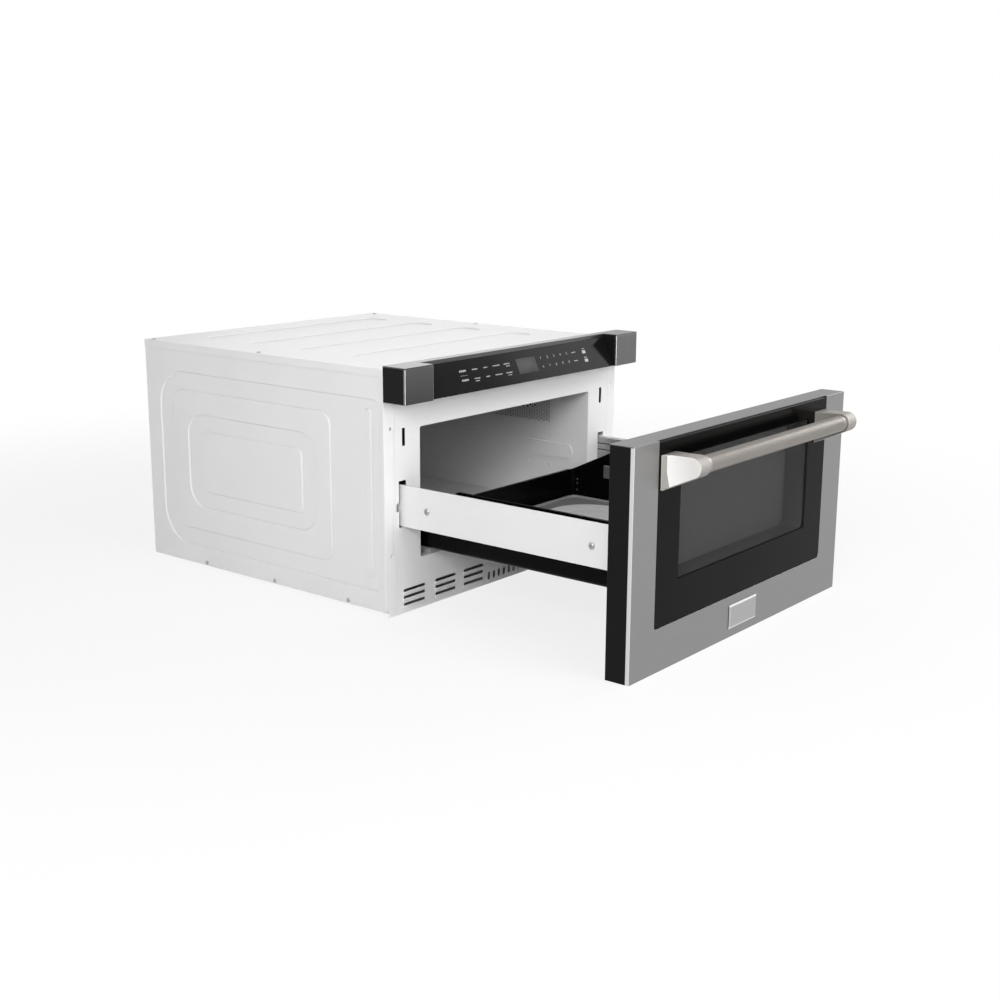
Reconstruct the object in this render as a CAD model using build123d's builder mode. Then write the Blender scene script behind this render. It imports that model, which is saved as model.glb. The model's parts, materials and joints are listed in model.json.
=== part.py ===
from build123d import *
from math import acos, cos, pi, radians, sin, tan
import os

os.makedirs("parts", exist_ok=True)

# A microwave oven built as a drawer, for fitting into a cabinet. Sizes are in millimetres.
# X runs to the right, Y back from the cook, Z up. The origin is the middle of the case's base.
# Heights are counted from the base, depths from the front face of the case.

# Case
case_width = 564.0
case_depth = 583.0
case_height = 381.0
sheet = 1.2
press_depth = 2.5
press_wall = 2.4
press_slope = 1.8
top_flange = 13.0
base_flange = 14.0
inner_flange = 12.0
flange_thickness = 1.5
flange_hole_inset = 6.7
flange_hole_radius = 2.6
flange_hole_low = 96.5
flange_hole_pitch = case_height - 183.5
screw_radius = 1.9
screw_clearance = 0.1
screw_length = 7.0
screw_head_radius = 3.6
screw_head_height = 2.0
cord_hole_radius = 9.0

# Oven cavity, with the slides beside it, the source above it and the service space behind it
slide_space = 60.0
source_space = 92.0
service_space = 138.0
cavity_floor = 82.0
cavity_width = case_width - 2 * slide_space
cavity_height = case_height - cavity_floor - source_space
cavity_depth = case_depth - service_space

# Control panel across the top of the front
face_width = case_width + 42
panel_drop = 45.0
panel_rise = 9.5
panel_bottom = case_height - panel_drop
panel_top = case_height + panel_rise
panel_depth = 45.0
panel_wall = 2.5
end_trim_width = 63.0
skin = 1.2
glass_thickness = 3.0
glass_set_back = 6.0
glass_lean = 22.0
top_trim_height = 2.0
top_lip = 4.5

# Drawer travel and door
travel = cavity_depth - 42
door_gap = 3.0
door_thickness = 40.0
door_bottom = -2.0
door_top = panel_bottom - 10.5
door_wall = 3.0
door_ledge = 6.0
door_glass_thickness = 4.2
skin_return = 6.0
column_width = 60.0
bottom_strip = 63.6
window_width = cavity_width - 72
window_bottom = 122.5
window_top = door_top - 28.5

# Tub and tray
tub_width = cavity_width - 16
tub_sheet = 1.5
tub_bottom = 95.0
tub_rim = 195.0
tub_back_rim = 148.0
tub_length = cavity_depth - 14
tub_corner = 8.0
ramp_slope = 0.48
rim_lip = 4.0
tray_thickness = 5.0
tray_clearance = 7.0
glide_length = 50.0
glide_depth = 15.0

# Side rails and telescopic slides
rail_spacing = case_width - 40
rail_thickness = 2.0
rail_bottom = 139.5
rail_top = 204.5
rail_overlap = 60.0
slide_centre = 184.0
slide_height = 40.0
slide_sheet = 1.2
slide_depth = 13.0
slide_clearance = 0.4
slide_length = cavity_depth - 25
slide_front = 10.0
bracket_foot = 10.0

# Drive
gear_module = 1.5
pinion_teeth = 16
pressure_angle = 20.0
gear_backlash = 0.25
gear_width = 5.0
gear_side_gap = 0.5
pinion_depth = 30.0
rack_back = 4.2

# Latches
latch_centre = rail_spacing / 2 - 3.7
latch_slot_width = 7.5
latch_slot_bottom = cavity_floor + cavity_height - 25
latch_slot_top = latch_slot_bottom + 27.8
hook_length = 38.0
hook_height = 17.0
hook_thickness = 3.0
plunger_gap = 0.6
plunger_travel = 4.0
plunger_radius = 2.4
plunger_clearance = 0.08

# Handle
bar_radius = 12.2
bracket_outer = face_width / 2 - 64.5
bracket_base_width = 36.5
bracket_nose_width = 25.4
bracket_base_bottom = door_top - 69
bracket_base_top = door_top - 19.5
nose_radius = 14.9
nose_height = door_top - 33.3
nose_reach = 43.2

# Microwave source and cooling
chamber_half = 85.0
chamber_depth = cavity_depth / 2 + 2.5
guide_height = 43.8
duct_half = 45.0
stirrer_radius = 64.0
stirrer_shaft_radius = 3.0
shaft_clearance = 0.05
fan_radius = 56.0
fan_gap = 2.0
fan_shaft_radius = 2.5

front_y = -case_depth / 2
side_outer = case_width / 2 - sheet
side_inner = side_outer - sheet
face_half = face_width / 2
cavity_half = cavity_width / 2
cavity_top = cavity_floor + cavity_height
door_back = -(travel + door_gap)
door_front = door_back - door_thickness
rail_inner = rail_spacing / 2
rail_outer = rail_inner + rail_thickness
flange_leg = side_inner - flange_thickness
frame_half = flange_leg - 0.3
hands = ((-1, "left"), (1, "right"))


def level(z):
    """A horizontal plane at a height; its axes are width and depth."""
    return Plane(origin=(0, front_y, z), x_dir=(1, 0, 0), z_dir=(0, 0, 1))


def upright(depth):
    """A plane facing the cook at a depth; its axes are width and height."""
    return Plane(origin=(0, front_y + depth, 0), x_dir=(1, 0, 0), z_dir=(0, -1, 0))


def side_on(x):
    """A plane facing right; its axes are depth and height."""
    return Plane(origin=(x, front_y, 0), x_dir=(0, 1, 0), z_dir=(1, 0, 0))


def span(side, near, far):
    """The width span between two distances from the middle, on one side."""
    return (near, far) if side > 0 else (-far, -near)


def slab(width, depth, height, mode=Mode.ADD):
    """A block between pairs of coordinates along width, depth and height."""
    sizes = [high - low for low, high in (width, depth, height)]
    middle = [(low + high) / 2 for low, high in (width, depth, height)]
    with Locations((middle[0], front_y + middle[1], middle[2])):
        Box(*sizes, mode=mode)


def bar(radius, start, end, mode=Mode.ADD):
    """A round bar between two points, each as width, depth and height."""
    start_point = Vector(start[0], start[1] + front_y, start[2])
    end_point = Vector(end[0], end[1] + front_y, end[2])
    axis = end_point - start_point
    with Locations(Plane(origin=start_point, z_dir=axis.normalized())):
        Cylinder(radius, axis.length, align=(Align.CENTER, Align.CENTER, Align.MIN), mode=mode)


def save(piece, name):
    """Label a finished piece and write its file."""
    piece.part.label = name
    export_step(piece.part, f"parts/{name}.step")


def outline(points, radii, mode=Mode.ADD):
    """A flat face with rounded corners."""
    with BuildLine() as edge:
        FilletPolyline(*points, radius=radii, close=True)
    make_face(edge.edges(), mode=mode)


def rounded(width, height, radius, mode=Mode.ADD):
    """A rounded rectangle between pairs of coordinates."""
    with Locations(((width[0] + width[1]) / 2, (height[0] + height[1]) / 2)):
        RectangleRounded(width[1] - width[0], height[1] - height[0], radius, mode=mode)


# --- Case ---------------------------------------------------------------------------------

side_screw_depths = (case_depth * 0.174, case_depth * 0.465, case_depth * 0.758)
side_screw_height = 5.5
top_screw_x = side_inner - 6
top_screw_depths = (case_depth * 0.515, case_depth - 18)
back_screw_heights = (60, case_height / 2, case_height - 60)
screw_hole = screw_radius + screw_clearance


def side_screw_holes(side):
    """Clear holes along X for the screws of one side."""
    for depth in side_screw_depths:
        start = (side * (side_outer + 1), depth, side_screw_height)
        end = (side * (side_inner - 4), depth, side_screw_height)
        bar(screw_hole, start, end, mode=Mode.SUBTRACT)


def top_screw_holes(side):
    """Clear holes along Z for the screws that hold the top panel."""
    for depth in top_screw_depths:
        start = (side * top_screw_x, depth, case_height + 1)
        end = (side * top_screw_x, depth, case_height - 5)
        bar(screw_hole, start, end, mode=Mode.SUBTRACT)


def back_screw_holes(side):
    """Clear holes along Y for the screws that hold the back panel."""
    for height in back_screw_heights:
        start = (side * top_screw_x, case_depth + 1, height)
        end = (side * top_screw_x, case_depth - 5, height)
        bar(screw_hole, start, end, mode=Mode.SUBTRACT)


# The base is a flat tray with air slots. Its side flanges carry the side panels.
flange_end_gap = 20.0
with BuildPart() as base_plate:
    slab((-side_inner, side_inner), (flange_thickness, case_depth), (0, sheet))
    flange_span = (flange_end_gap, case_depth - flange_end_gap)
    for side, hand in hands:
        slab(span(side, side_inner - sheet, side_inner), flange_span, (0, base_flange))
        side_screw_holes(side)
    with BuildSketch(level(0)):
        with Locations((side_inner / 2, case_depth * 0.3), (-side_inner / 2, case_depth * 0.3)):
            with GridLocations(14, 40, 9, 2):
                SlotOverall(30, 5, rotation=90)
    extrude(amount=sheet, mode=Mode.SUBTRACT)
save(base_plate, "base_plate")

# Each side panel is stiffened by two pressed rings, with a bead standing in the outer one.
# The rings' corners are wide at the rear and tight at the front.
ring_loops = (
    ((33, case_depth - 36), (32, case_height - 49), 10, 60),
    ((135, case_depth - 67), (61, case_height - 78), 22, 24),
    ((171, case_depth - 106), (103, case_height - 118), 36, 38),
    ((200, case_depth - 135), (130, case_height - 145), 12, 14),
)
bead_depth = (46.5, 62)
bead_height = (51, case_height - 63)
panel_edge = 8.0


def ring_loop(loop, grow, mode=Mode.ADD):
    """One closed edge of the pressing, grown outward by a distance."""
    (front, rear), (low, high), front_radius, rear_radius = loop
    corners = (
        (front - grow, low - grow),
        (rear + grow, low - grow),
        (rear + grow, high + grow),
        (front - grow, high + grow),
    )
    near_radius = front_radius + grow
    far_radius = rear_radius + grow
    outline(corners, (near_radius, far_radius, far_radius, near_radius), mode=mode)


def ring_pressing(grow):
    """The two recessed rings, with the bead left standing in the outer one."""
    ring_loop(ring_loops[0], grow)
    ring_loop(ring_loops[1], -grow, mode=Mode.SUBTRACT)
    ring_loop(ring_loops[2], grow)
    ring_loop(ring_loops[3], -grow, mode=Mode.SUBTRACT)
    depth = (bead_depth[0] + grow, bead_depth[1] - grow)
    height = (bead_height[0] + grow, bead_height[1] - grow)
    rounded(depth, height, (depth[1] - depth[0]) * 0.49, mode=Mode.SUBTRACT)


for side, hand in hands:
    with BuildPart() as side_panel:
        slab(span(side, side_inner, side_outer), (flange_thickness, case_depth), (0, case_height - sheet))
        with BuildSketch(side_on(side * side_inner)):
            ring_pressing(press_wall)
        extrude(amount=-side * press_depth)
        with BuildSketch(side_on(side * side_outer)):
            ring_pressing(0)
        extrude(amount=-side * press_depth, mode=Mode.SUBTRACT)
        face_x = side * side_outer
        rims = side_panel.edges().filter_by_position(Axis.X, face_x - 0.01, face_x + 0.01)
        rims = [edge for edge in rims if panel_edge < edge.center().Z < case_height - panel_edge]
        rims = [edge for edge in rims if panel_edge < edge.center().Y - front_y < case_depth - panel_edge]
        chamfer(rims, press_slope)
        inward = span(side, side_inner - inner_flange, side_inner)
        under_top = case_height - sheet
        before_back = case_depth - sheet
        slab(inward, (25, before_back), (under_top - sheet, under_top))
        slab(inward, (before_back - sheet, before_back), (20, under_top))
        side_screw_holes(side)
        top_screw_holes(side)
        back_screw_holes(side)
    save(side_panel, f"{hand}_side_panel")

# The top panel laps over the sides. Four shallow pads pressed into it run across.
pad_width = 50.0
pad_count = 4
pad_first = 145.0
pad_pitch = (case_depth - pad_first - 86.1) / (pad_count - 1)
pad_span = (82 - case_width / 2, case_width / 2 - 67)
pad_depth = 2.0
pad_corner = 14.0
with BuildPart() as top_panel:
    under_top = case_height - sheet
    slab((-case_width / 2, case_width / 2), (sheet, case_depth), (under_top, case_height))
    for side, hand in hands:
        lap = span(side, side_outer, case_width / 2)
        slab(lap, (flange_thickness, case_depth), (case_height - top_flange, case_height))
    for index in range(pad_count):
        centre = pad_first + pad_pitch * index
        outer_pad = (centre - pad_width / 2 - press_wall, centre + pad_width / 2 + press_wall)
        inner_pad = (centre - pad_width / 2, centre + pad_width / 2)
        with BuildSketch(level(under_top)):
            rounded((pad_span[0] - press_wall, pad_span[1] + press_wall), outer_pad, pad_corner + press_wall)
        extrude(amount=-pad_depth)
        with BuildSketch(level(case_height)):
            rounded(pad_span, inner_pad, pad_corner)
        extrude(amount=-pad_depth, mode=Mode.SUBTRACT)
    rims = top_panel.edges().filter_by_position(Axis.Z, case_height - 0.01, case_height + 0.01)
    rims = [edge for edge in rims if abs(edge.center().X) < side_inner - panel_edge]
    rims = [edge for edge in rims if panel_edge < edge.center().Y - front_y < case_depth - panel_edge]
    chamfer(rims, press_slope)
    for side, hand in hands:
        top_screw_holes(side)
save(top_panel, "top_panel")

# The back panel closes the rear. It has air slots and the hole where the mains lead enters.
with BuildPart() as back_panel:
    back_height = (sheet, case_height - sheet)
    slab((-side_inner, side_inner), (case_depth - sheet, case_depth), back_height)
    for side, hand in hands:
        back_screw_holes(side)
    with BuildSketch(upright(case_depth)):
        with Locations((case_width * 0.25, case_height * 0.3), (0, case_height * 0.62)):
            with GridLocations(12, 52, 10, 2):
                SlotOverall(40, 5, rotation=90)
        with Locations((-case_width * 0.38, case_height * 0.2)):
            Circle(cord_hole_radius)
    extrude(amount=sheet, mode=Mode.SUBTRACT)
save(back_panel, "back_panel")

# The front frame is one sheet behind the door. It has the cavity's mouth, a slot for each rail
# with a notch for the rail's screw heads, a slot for each latch hook, and louvres at the foot.
slot_inside = 8.5
slot_outside = 6.5
slot_below = 1.5
slot_above = 6.5
notch_width = 5.5
notch_half_height = 7.0
rail_screw_height = 170.0
mouth_corner = 4.0
frame_return = 14.0
louvre_centres = (frame_half - 40.8, frame_half - 114.8, frame_half - 184.3)
louvre_heights = (34.5, 23.5, 12)
louvre_length = 51.0
louvre_slot = 3.8
hood_reach = 2.2
hood_height = 4.5
hood_sheet = 0.8
centre_slot_count = 9
centre_slot_pitch = 13.2
centre_slot_height = 13.5
centre_slot_size = (13.5, 6.8)

# One louvre hood: a pressed scoop below its slot, open at the top.
with BuildPart() as hood:
    with BuildSketch(Plane.YZ):
        Ellipse(hood_reach, hood_height)
        with Locations((-hood_reach / 2, -hood_height / 2)):
            Rectangle(hood_reach, hood_height, mode=Mode.INTERSECT)
    extrude(amount=louvre_length / 2, both=True)
    with BuildSketch(Plane.YZ):
        Ellipse(hood_reach - hood_sheet, hood_height - hood_sheet)
        with Locations((-hood_reach / 2, -hood_height / 2)):
            Rectangle(hood_reach, hood_height, mode=Mode.INTERSECT)
    extrude(amount=louvre_length / 2 - hood_sheet, both=True, mode=Mode.SUBTRACT)

with BuildPart() as front_frame:
    slab((-frame_half, frame_half), (0, sheet), (0, case_height))
    for side, hand in hands:
        side_return = span(side, frame_half - sheet, frame_half)
        slab(side_return, (sheet, frame_return), (sheet, case_height - 2 * sheet))
    with BuildSketch(upright(sheet)):
        rounded((-cavity_half, cavity_half), (cavity_floor, cavity_top), mouth_corner)
        for side, hand in hands:
            slot = span(side, rail_inner - slot_inside, rail_outer + slot_outside)
            rounded(slot, (rail_bottom - slot_below, rail_top + slot_above), 2)
            notch = span(side, rail_outer, rail_outer + slot_outside + notch_width)
            notch_height = (rail_screw_height - notch_half_height, rail_screw_height + notch_half_height)
            rounded(notch, notch_height, 3)
            latch = span(side, latch_centre - latch_slot_width / 2, latch_centre + latch_slot_width / 2)
            rounded(latch, (latch_slot_bottom, latch_slot_top), 1)
            for centre in louvre_centres:
                for height in louvre_heights:
                    half = louvre_length / 2 - hood_sheet
                    opening = span(side, centre - half, centre + half)
                    rounded(opening, (height - hood_height / 2, height + louvre_slot), 1.5)
        with Locations((0, centre_slot_height)):
            with GridLocations(centre_slot_pitch, 1, centre_slot_count, 1):
                SlotOverall(*centre_slot_size, rotation=90)
    extrude(amount=sheet, mode=Mode.SUBTRACT)
    places = [
        (side * centre, front_y, height)
        for side, hand in hands
        for centre in louvre_centres
        for height in louvre_heights
    ]
    with Locations(*places):
        add(hood.part)
save(front_frame, "front_frame")

# Angle strips beside the front frame, with holes for fixing the oven to the cabinet.
flange_reach = face_half - 0.5
flange_hole_x = side_outer + flange_hole_inset
flange_leg_depth = 18.0
flange_notch = (8.0, 12.0)
for side, hand in hands:
    with BuildPart() as mounting_flange:
        flange_top = case_height - 6
        slab(span(side, flange_leg, flange_reach), (0, flange_thickness), (0, flange_top))
        leg = span(side, flange_leg, side_inner)
        slab(leg, (flange_thickness, flange_leg_depth), (sheet, flange_top - 10))
        corner = span(side, flange_reach - flange_notch[0], flange_reach)
        slab(corner, (0, flange_thickness), (0, flange_notch[1]), mode=Mode.SUBTRACT)
        for height in (flange_hole_low, flange_hole_low + flange_hole_pitch):
            start = (side * flange_hole_x, -1, height)
            end = (side * flange_hole_x, flange_thickness + 1, height)
            bar(flange_hole_radius, start, end, mode=Mode.SUBTRACT)
    save(mounting_flange, f"{hand}_mounting_flange")


def screw(head_face, inward):
    """A pan-head screw with its head on a face, driven along a direction."""
    start = Vector(*head_face)
    along = Vector(*inward)
    tip = start + along * screw_length
    crown = start - along * screw_head_height
    bar(screw_radius, tuple(start), tuple(tip))
    bar(screw_head_radius, tuple(crown), tuple(start))


with BuildPart() as case_screws:
    for side, hand in hands:
        for depth in side_screw_depths:
            screw((side * side_outer, depth, side_screw_height), (-side, 0, 0))
        for depth in top_screw_depths:
            screw((side * top_screw_x, depth, case_height), (0, 0, -1))
        for height in back_screw_heights:
            screw((side * top_screw_x, case_depth, height), (0, -1, 0))
save(case_screws, "case_screws")

# --- Oven cavity --------------------------------------------------------------------------

# Each side wall has a pressed bead where the slide's bracket is fixed behind it.
# The right wall has the air vent, a field of small holes.
wall_bead_depth = (33, cavity_depth - 145)
wall_bead_height = (162, 189)
wall_bead_in = 2.0
vent_centre = (148.5, cavity_top - 39)
vent_hole_radius = 2.1
vent_hole_spacing = 3.2
wall_outer = cavity_half + sheet
for side, hand in hands:
    with BuildPart() as cavity_wall:
        wall_height = (cavity_floor - sheet, cavity_top + sheet)
        slab(span(side, cavity_half, wall_outer), (sheet, cavity_depth), wall_height)
        with BuildSketch(side_on(side * cavity_half)):
            rounded(wall_bead_depth, wall_bead_height, 12)
        extrude(amount=-side * wall_bead_in)
        with BuildSketch(side_on(side * wall_outer)):
            inner_depth = (wall_bead_depth[0] + sheet, wall_bead_depth[1] - sheet)
            inner_height = (wall_bead_height[0] + sheet, wall_bead_height[1] - sheet)
            rounded(inner_depth, inner_height, 12 - sheet)
        extrude(amount=-side * wall_bead_in, mode=Mode.SUBTRACT)
        if side > 0:
            with BuildSketch(side_on(cavity_half)):
                with Locations(vent_centre):
                    with HexLocations(vent_hole_spacing, 24, 8):
                        Circle(vent_hole_radius)
            extrude(amount=sheet, mode=Mode.SUBTRACT)
    save(cavity_wall, f"cavity_{hand}_wall")

# The ceiling has the mouth of the stirrer's chamber.
chamber_mouth = 75.0
with BuildPart() as cavity_ceiling:
    slab((-cavity_half, cavity_half), (sheet, cavity_depth), (cavity_top, cavity_top + sheet))
    with BuildSketch(level(cavity_top)):
        mouth = (chamber_depth - chamber_mouth, chamber_depth + chamber_mouth)
        rounded((-chamber_mouth, chamber_mouth), mouth, 12)
    extrude(amount=sheet, mode=Mode.SUBTRACT)
save(cavity_ceiling, "cavity_ceiling")

with BuildPart() as cavity_floor_sheet:
    slab((-cavity_half, cavity_half), (sheet, cavity_depth), (cavity_floor - sheet, cavity_floor))
save(cavity_floor_sheet, "cavity_floor")

with BuildPart() as cavity_back_wall:
    back_depth = (cavity_depth, cavity_depth + sheet)
    slab((-wall_outer, wall_outer), back_depth, (cavity_floor - sheet, cavity_top + sheet))
save(cavity_back_wall, "cavity_back_wall")

# --- Microwave source ---------------------------------------------------------------------

guide_base = cavity_top + sheet
guide_top = guide_base + guide_height
magnetron_depth = case_depth - 83
duct_end = magnetron_depth + 48
dome_radius = 12.0
dome_clearance = 4.0
chamber_span = (chamber_depth - chamber_half, chamber_depth + chamber_half)
guide_lip = 8.0

# The waveguide is a folded duct from the magnetron to a square chamber over the cavity.
with BuildPart() as waveguide:
    slab((-chamber_half, chamber_half), chamber_span, (guide_base, guide_top))
    slab((-duct_half, duct_half), (chamber_span[1], duct_end), (guide_base, guide_top))
    lip_span = (chamber_span[0] - guide_lip, chamber_span[1] + guide_lip)
    slab((-chamber_half - guide_lip, chamber_half + guide_lip), lip_span, (guide_base, guide_base + sheet))
    hollow = (chamber_span[0] + sheet, chamber_span[1] - sheet)
    under = guide_top - sheet
    slab((sheet - chamber_half, chamber_half - sheet), hollow, (guide_base, under), mode=Mode.SUBTRACT)
    duct = (chamber_span[1] - 2 * sheet, duct_end - sheet)
    slab((sheet - duct_half, duct_half - sheet), duct, (guide_base + sheet, under), mode=Mode.SUBTRACT)
    dome_start = (0, magnetron_depth, guide_base - 1)
    dome_end = (0, magnetron_depth, guide_base + 2 * sheet)
    bar(dome_radius + dome_clearance, dome_start, dome_end, mode=Mode.SUBTRACT)
    shaft_hole = stirrer_shaft_radius + 1
    bar(shaft_hole, (0, chamber_depth, under - 1), (0, chamber_depth, guide_top + 1), mode=Mode.SUBTRACT)
save(waveguide, "waveguide")

# A thin plastic sheet under the ceiling keeps splashes out of the chamber.
cover_thickness = 2.5
with BuildPart() as stirrer_cover:
    with BuildSketch(level(cavity_top)):
        cover_span = (chamber_span[0] - 3, chamber_span[1] + 3)
        rounded((-chamber_half - 3, chamber_half + 3), cover_span, 10)
    extrude(amount=-cover_thickness)
    chamfer(stirrer_cover.faces().sort_by(Axis.Z)[0].edges(), 1)
save(stirrer_cover, "stirrer_cover")

# A small synchronous motor on the chamber's roof turns the stirrer.
motor_radius = 24.0
motor_height = 16.0
motor_ear_reach = 34.0
motor_ear_half = 6.0
shaft_bore_depth = 12.0
with BuildPart() as stirrer_motor:
    bar(motor_radius, (0, chamber_depth, guide_top), (0, chamber_depth, guide_top + motor_height))
    ear_span = (chamber_depth - motor_ear_half, chamber_depth + motor_ear_half)
    slab((-motor_ear_reach, motor_ear_reach), ear_span, (guide_top, guide_top + 2))
    terminal = (chamber_depth + motor_radius - 4, chamber_depth + motor_radius + 8)
    slab((-9, 9), terminal, (guide_top + 2, guide_top + 12))
    bore_low = (0, chamber_depth, guide_top - 1)
    bore_top = (0, chamber_depth, guide_top + shaft_bore_depth)
    bar(stirrer_shaft_radius + shaft_clearance, bore_low, bore_top, mode=Mode.SUBTRACT)
save(stirrer_motor, "stirrer_motor")

# The stirrer is a hub with three tilted blades on a plastic shaft.
stirrer_height = guide_base + 13
stirrer_hub_radius = 16.0
blade_count = 3
blade_root = 12.0
blade_width = 24.0
blade_sheet = 1.6
blade_tilt = 18.0
with BuildPart() as stirrer:
    shaft_end = (0, chamber_depth, guide_top + shaft_bore_depth - 2)
    bar(stirrer_shaft_radius, (0, chamber_depth, stirrer_height - 3), shaft_end)
    hub_low = (0, chamber_depth, stirrer_height - 1)
    bar(stirrer_hub_radius, hub_low, (0, chamber_depth, stirrer_height + 1))
    blade_length = stirrer_radius - blade_root
    with Locations((0, front_y + chamber_depth, stirrer_height)):
        with PolarLocations(blade_root + blade_length / 2, blade_count):
            Box(blade_length, blade_width, blade_sheet, rotation=(blade_tilt, 0, 0))
save(stirrer, "stirrer")

# The magnetron hangs under the end of the duct, with its dome inside. Cooling fins fill its
# yoke, and the box below holds its filter.
yoke_half = 42.0
yoke_depth_half = 38.0
yoke_bottom = guide_base - 75
yoke_sheet = 2.5
anode_radius = 18.0
magnet_radius = 27.0
magnet_height = 10.0
fin_count = 8
fin_depth_half = 30.0
fin_sheet = 0.8
dome_height = 14.0
filter_half = 32.0
filter_height = 34.0
plug_half = 14.0
plug_depth = 12.0
with BuildPart() as magnetron:
    yoke_span = (magnetron_depth - yoke_depth_half, magnetron_depth + yoke_depth_half)
    slab((-yoke_half, yoke_half), yoke_span, (yoke_bottom, guide_base))
    inside = (yoke_bottom + yoke_sheet, guide_base - yoke_sheet)
    slab((yoke_sheet - yoke_half, yoke_half - yoke_sheet), yoke_span, inside, mode=Mode.SUBTRACT)
    bar(anode_radius, (0, magnetron_depth, yoke_bottom), (0, magnetron_depth, guide_base))
    for low in (inside[0], inside[1] - magnet_height):
        bar(magnet_radius, (0, magnetron_depth, low), (0, magnetron_depth, low + magnet_height))
    fin_low = inside[0] + magnet_height + 4
    fin_pitch = (inside[1] - magnet_height - 4 - fin_low) / (fin_count - 1)
    fin_span = (magnetron_depth - fin_depth_half, magnetron_depth + fin_depth_half)
    for index in range(fin_count):
        height = fin_low + fin_pitch * index
        fin_height = (height - fin_sheet / 2, height + fin_sheet / 2)
        slab((yoke_sheet - yoke_half, yoke_half - yoke_sheet), fin_span, fin_height)
    bar(dome_radius, (0, magnetron_depth, guide_base), (0, magnetron_depth, guide_base + dome_height))
    slab((-filter_half, filter_half), fin_span, (yoke_bottom - filter_height, yoke_bottom))
    plug_span = (fin_span[0] - plug_depth, fin_span[0])
    slab((-plug_half, plug_half), plug_span, (yoke_bottom - 24, yoke_bottom - 8))
save(magnetron, "magnetron")

# The power transformer stands on the base: a laminated core with two windings.
transformer_x = 117 - case_width / 2
foot_plate = 2.0
core_height = 80.0
core_half = 48.0
core_depth_half = 28.0
core_window_half = 8.0
service_depth = case_depth - 71
windings = ((24, 22, 30, 44), (48, 13, 28, 40))
with BuildPart() as power_transformer:
    plate = (transformer_x - core_half - 12, transformer_x + core_half + 12)
    plate_span = (service_depth - core_depth_half - 6, service_depth + core_depth_half + 6)
    slab(plate, plate_span, (sheet, sheet + foot_plate))
    core = (transformer_x - core_half, transformer_x + core_half)
    core_span = (service_depth - core_depth_half, service_depth + core_depth_half)
    slab(core, core_span, (sheet + foot_plate, sheet + core_height))
    for side, hand in hands:
        window_x = transformer_x + side * core_half / 2
        window = (window_x - core_window_half, window_x + core_window_half)
        slab(window, core_span, (22, core_height - 18), mode=Mode.SUBTRACT)
    for low, height, half_width, half_depth in windings:
        with BuildSketch(level(low)):
            width = (transformer_x - half_width, transformer_x + half_width)
            rounded(width, (service_depth - half_depth, service_depth + half_depth), 14)
        extrude(amount=height)
save(power_transformer, "power_transformer")

# The high-voltage capacitor is an oval can on a clamp plate, with two pairs of tabs.
capacitor_x = transformer_x + 103
capacitor_length = 54.0
capacitor_width = 32.0
capacitor_height = 92.0
tab_offsets = (-12, -6, 6, 12)
with BuildPart() as hv_capacitor:
    plate = (capacitor_x - capacitor_length / 2 - 7, capacitor_x + capacitor_length / 2 + 7)
    plate_span = (service_depth - capacitor_width / 2 - 4, service_depth + capacitor_width / 2 + 4)
    slab(plate, plate_span, (sheet, sheet + foot_plate))
    with BuildSketch(level(sheet + foot_plate)):
        with Locations((capacitor_x, service_depth)):
            SlotOverall(capacitor_length, capacitor_width)
    extrude(amount=capacitor_height)
    tab_base = sheet + capacitor_height
    for offset_x in tab_offsets:
        tab = (capacitor_x + offset_x - 0.5, capacitor_x + offset_x + 0.5)
        slab(tab, (service_depth - 3, service_depth + 3), (tab_base, tab_base + 12))
save(hv_capacitor, "hv_capacitor")

# --- Cooling ------------------------------------------------------------------------------

fan_x = case_width / 2 - 132
fan_height = 90.0
shroud_depth = case_depth - 83
shroud_half = fan_radius + fan_gap + 14
shroud_sheet = 2.0
ring_depth = 25.0
fan_motor_front = shroud_depth - 34
fan_motor_back = shroud_depth - 8
fan_motor_half = (22.0, 24.0)
fan_arm_half = 6.0

# The shroud stands on the base and holds the ring round the fan.
with BuildPart() as fan_shroud:
    plate = (fan_x - shroud_half, fan_x + shroud_half)
    slab(plate, (shroud_depth, shroud_depth + shroud_sheet), (sheet, fan_height + shroud_half))
    slab(plate, (shroud_depth - 16, shroud_depth), (sheet, 2 * sheet))
    ring_end = (fan_x, shroud_depth + ring_depth, fan_height)
    bar(fan_radius + fan_gap + shroud_sheet, (fan_x, shroud_depth, fan_height), ring_end)
    hole_start = (fan_x, shroud_depth - 1, fan_height)
    hole_end = (fan_x, shroud_depth + ring_depth + 1, fan_height)
    bar(fan_radius + fan_gap, hole_start, hole_end, mode=Mode.SUBTRACT)
save(fan_shroud, "fan_shroud")

# The fan's motor hangs on a bar across the shroud's hole.
with BuildPart() as fan_motor:
    motor_width = (fan_x - fan_motor_half[0], fan_x + fan_motor_half[0])
    motor_height_span = (fan_height - fan_motor_half[1], fan_height + fan_motor_half[1])
    slab(motor_width, (fan_motor_front, fan_motor_back), motor_height_span)
    arm = (fan_x - shroud_half, fan_x + shroud_half)
    slab(arm, (fan_motor_back, shroud_depth), (fan_height - fan_arm_half, fan_height + fan_arm_half))
    bore_start = (fan_x, fan_motor_front + 6, fan_height)
    bore_end = (fan_x, shroud_depth + 1, fan_height)
    bar(fan_shaft_radius + shaft_clearance, bore_start, bore_end, mode=Mode.SUBTRACT)
save(fan_motor, "fan_motor")

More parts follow.
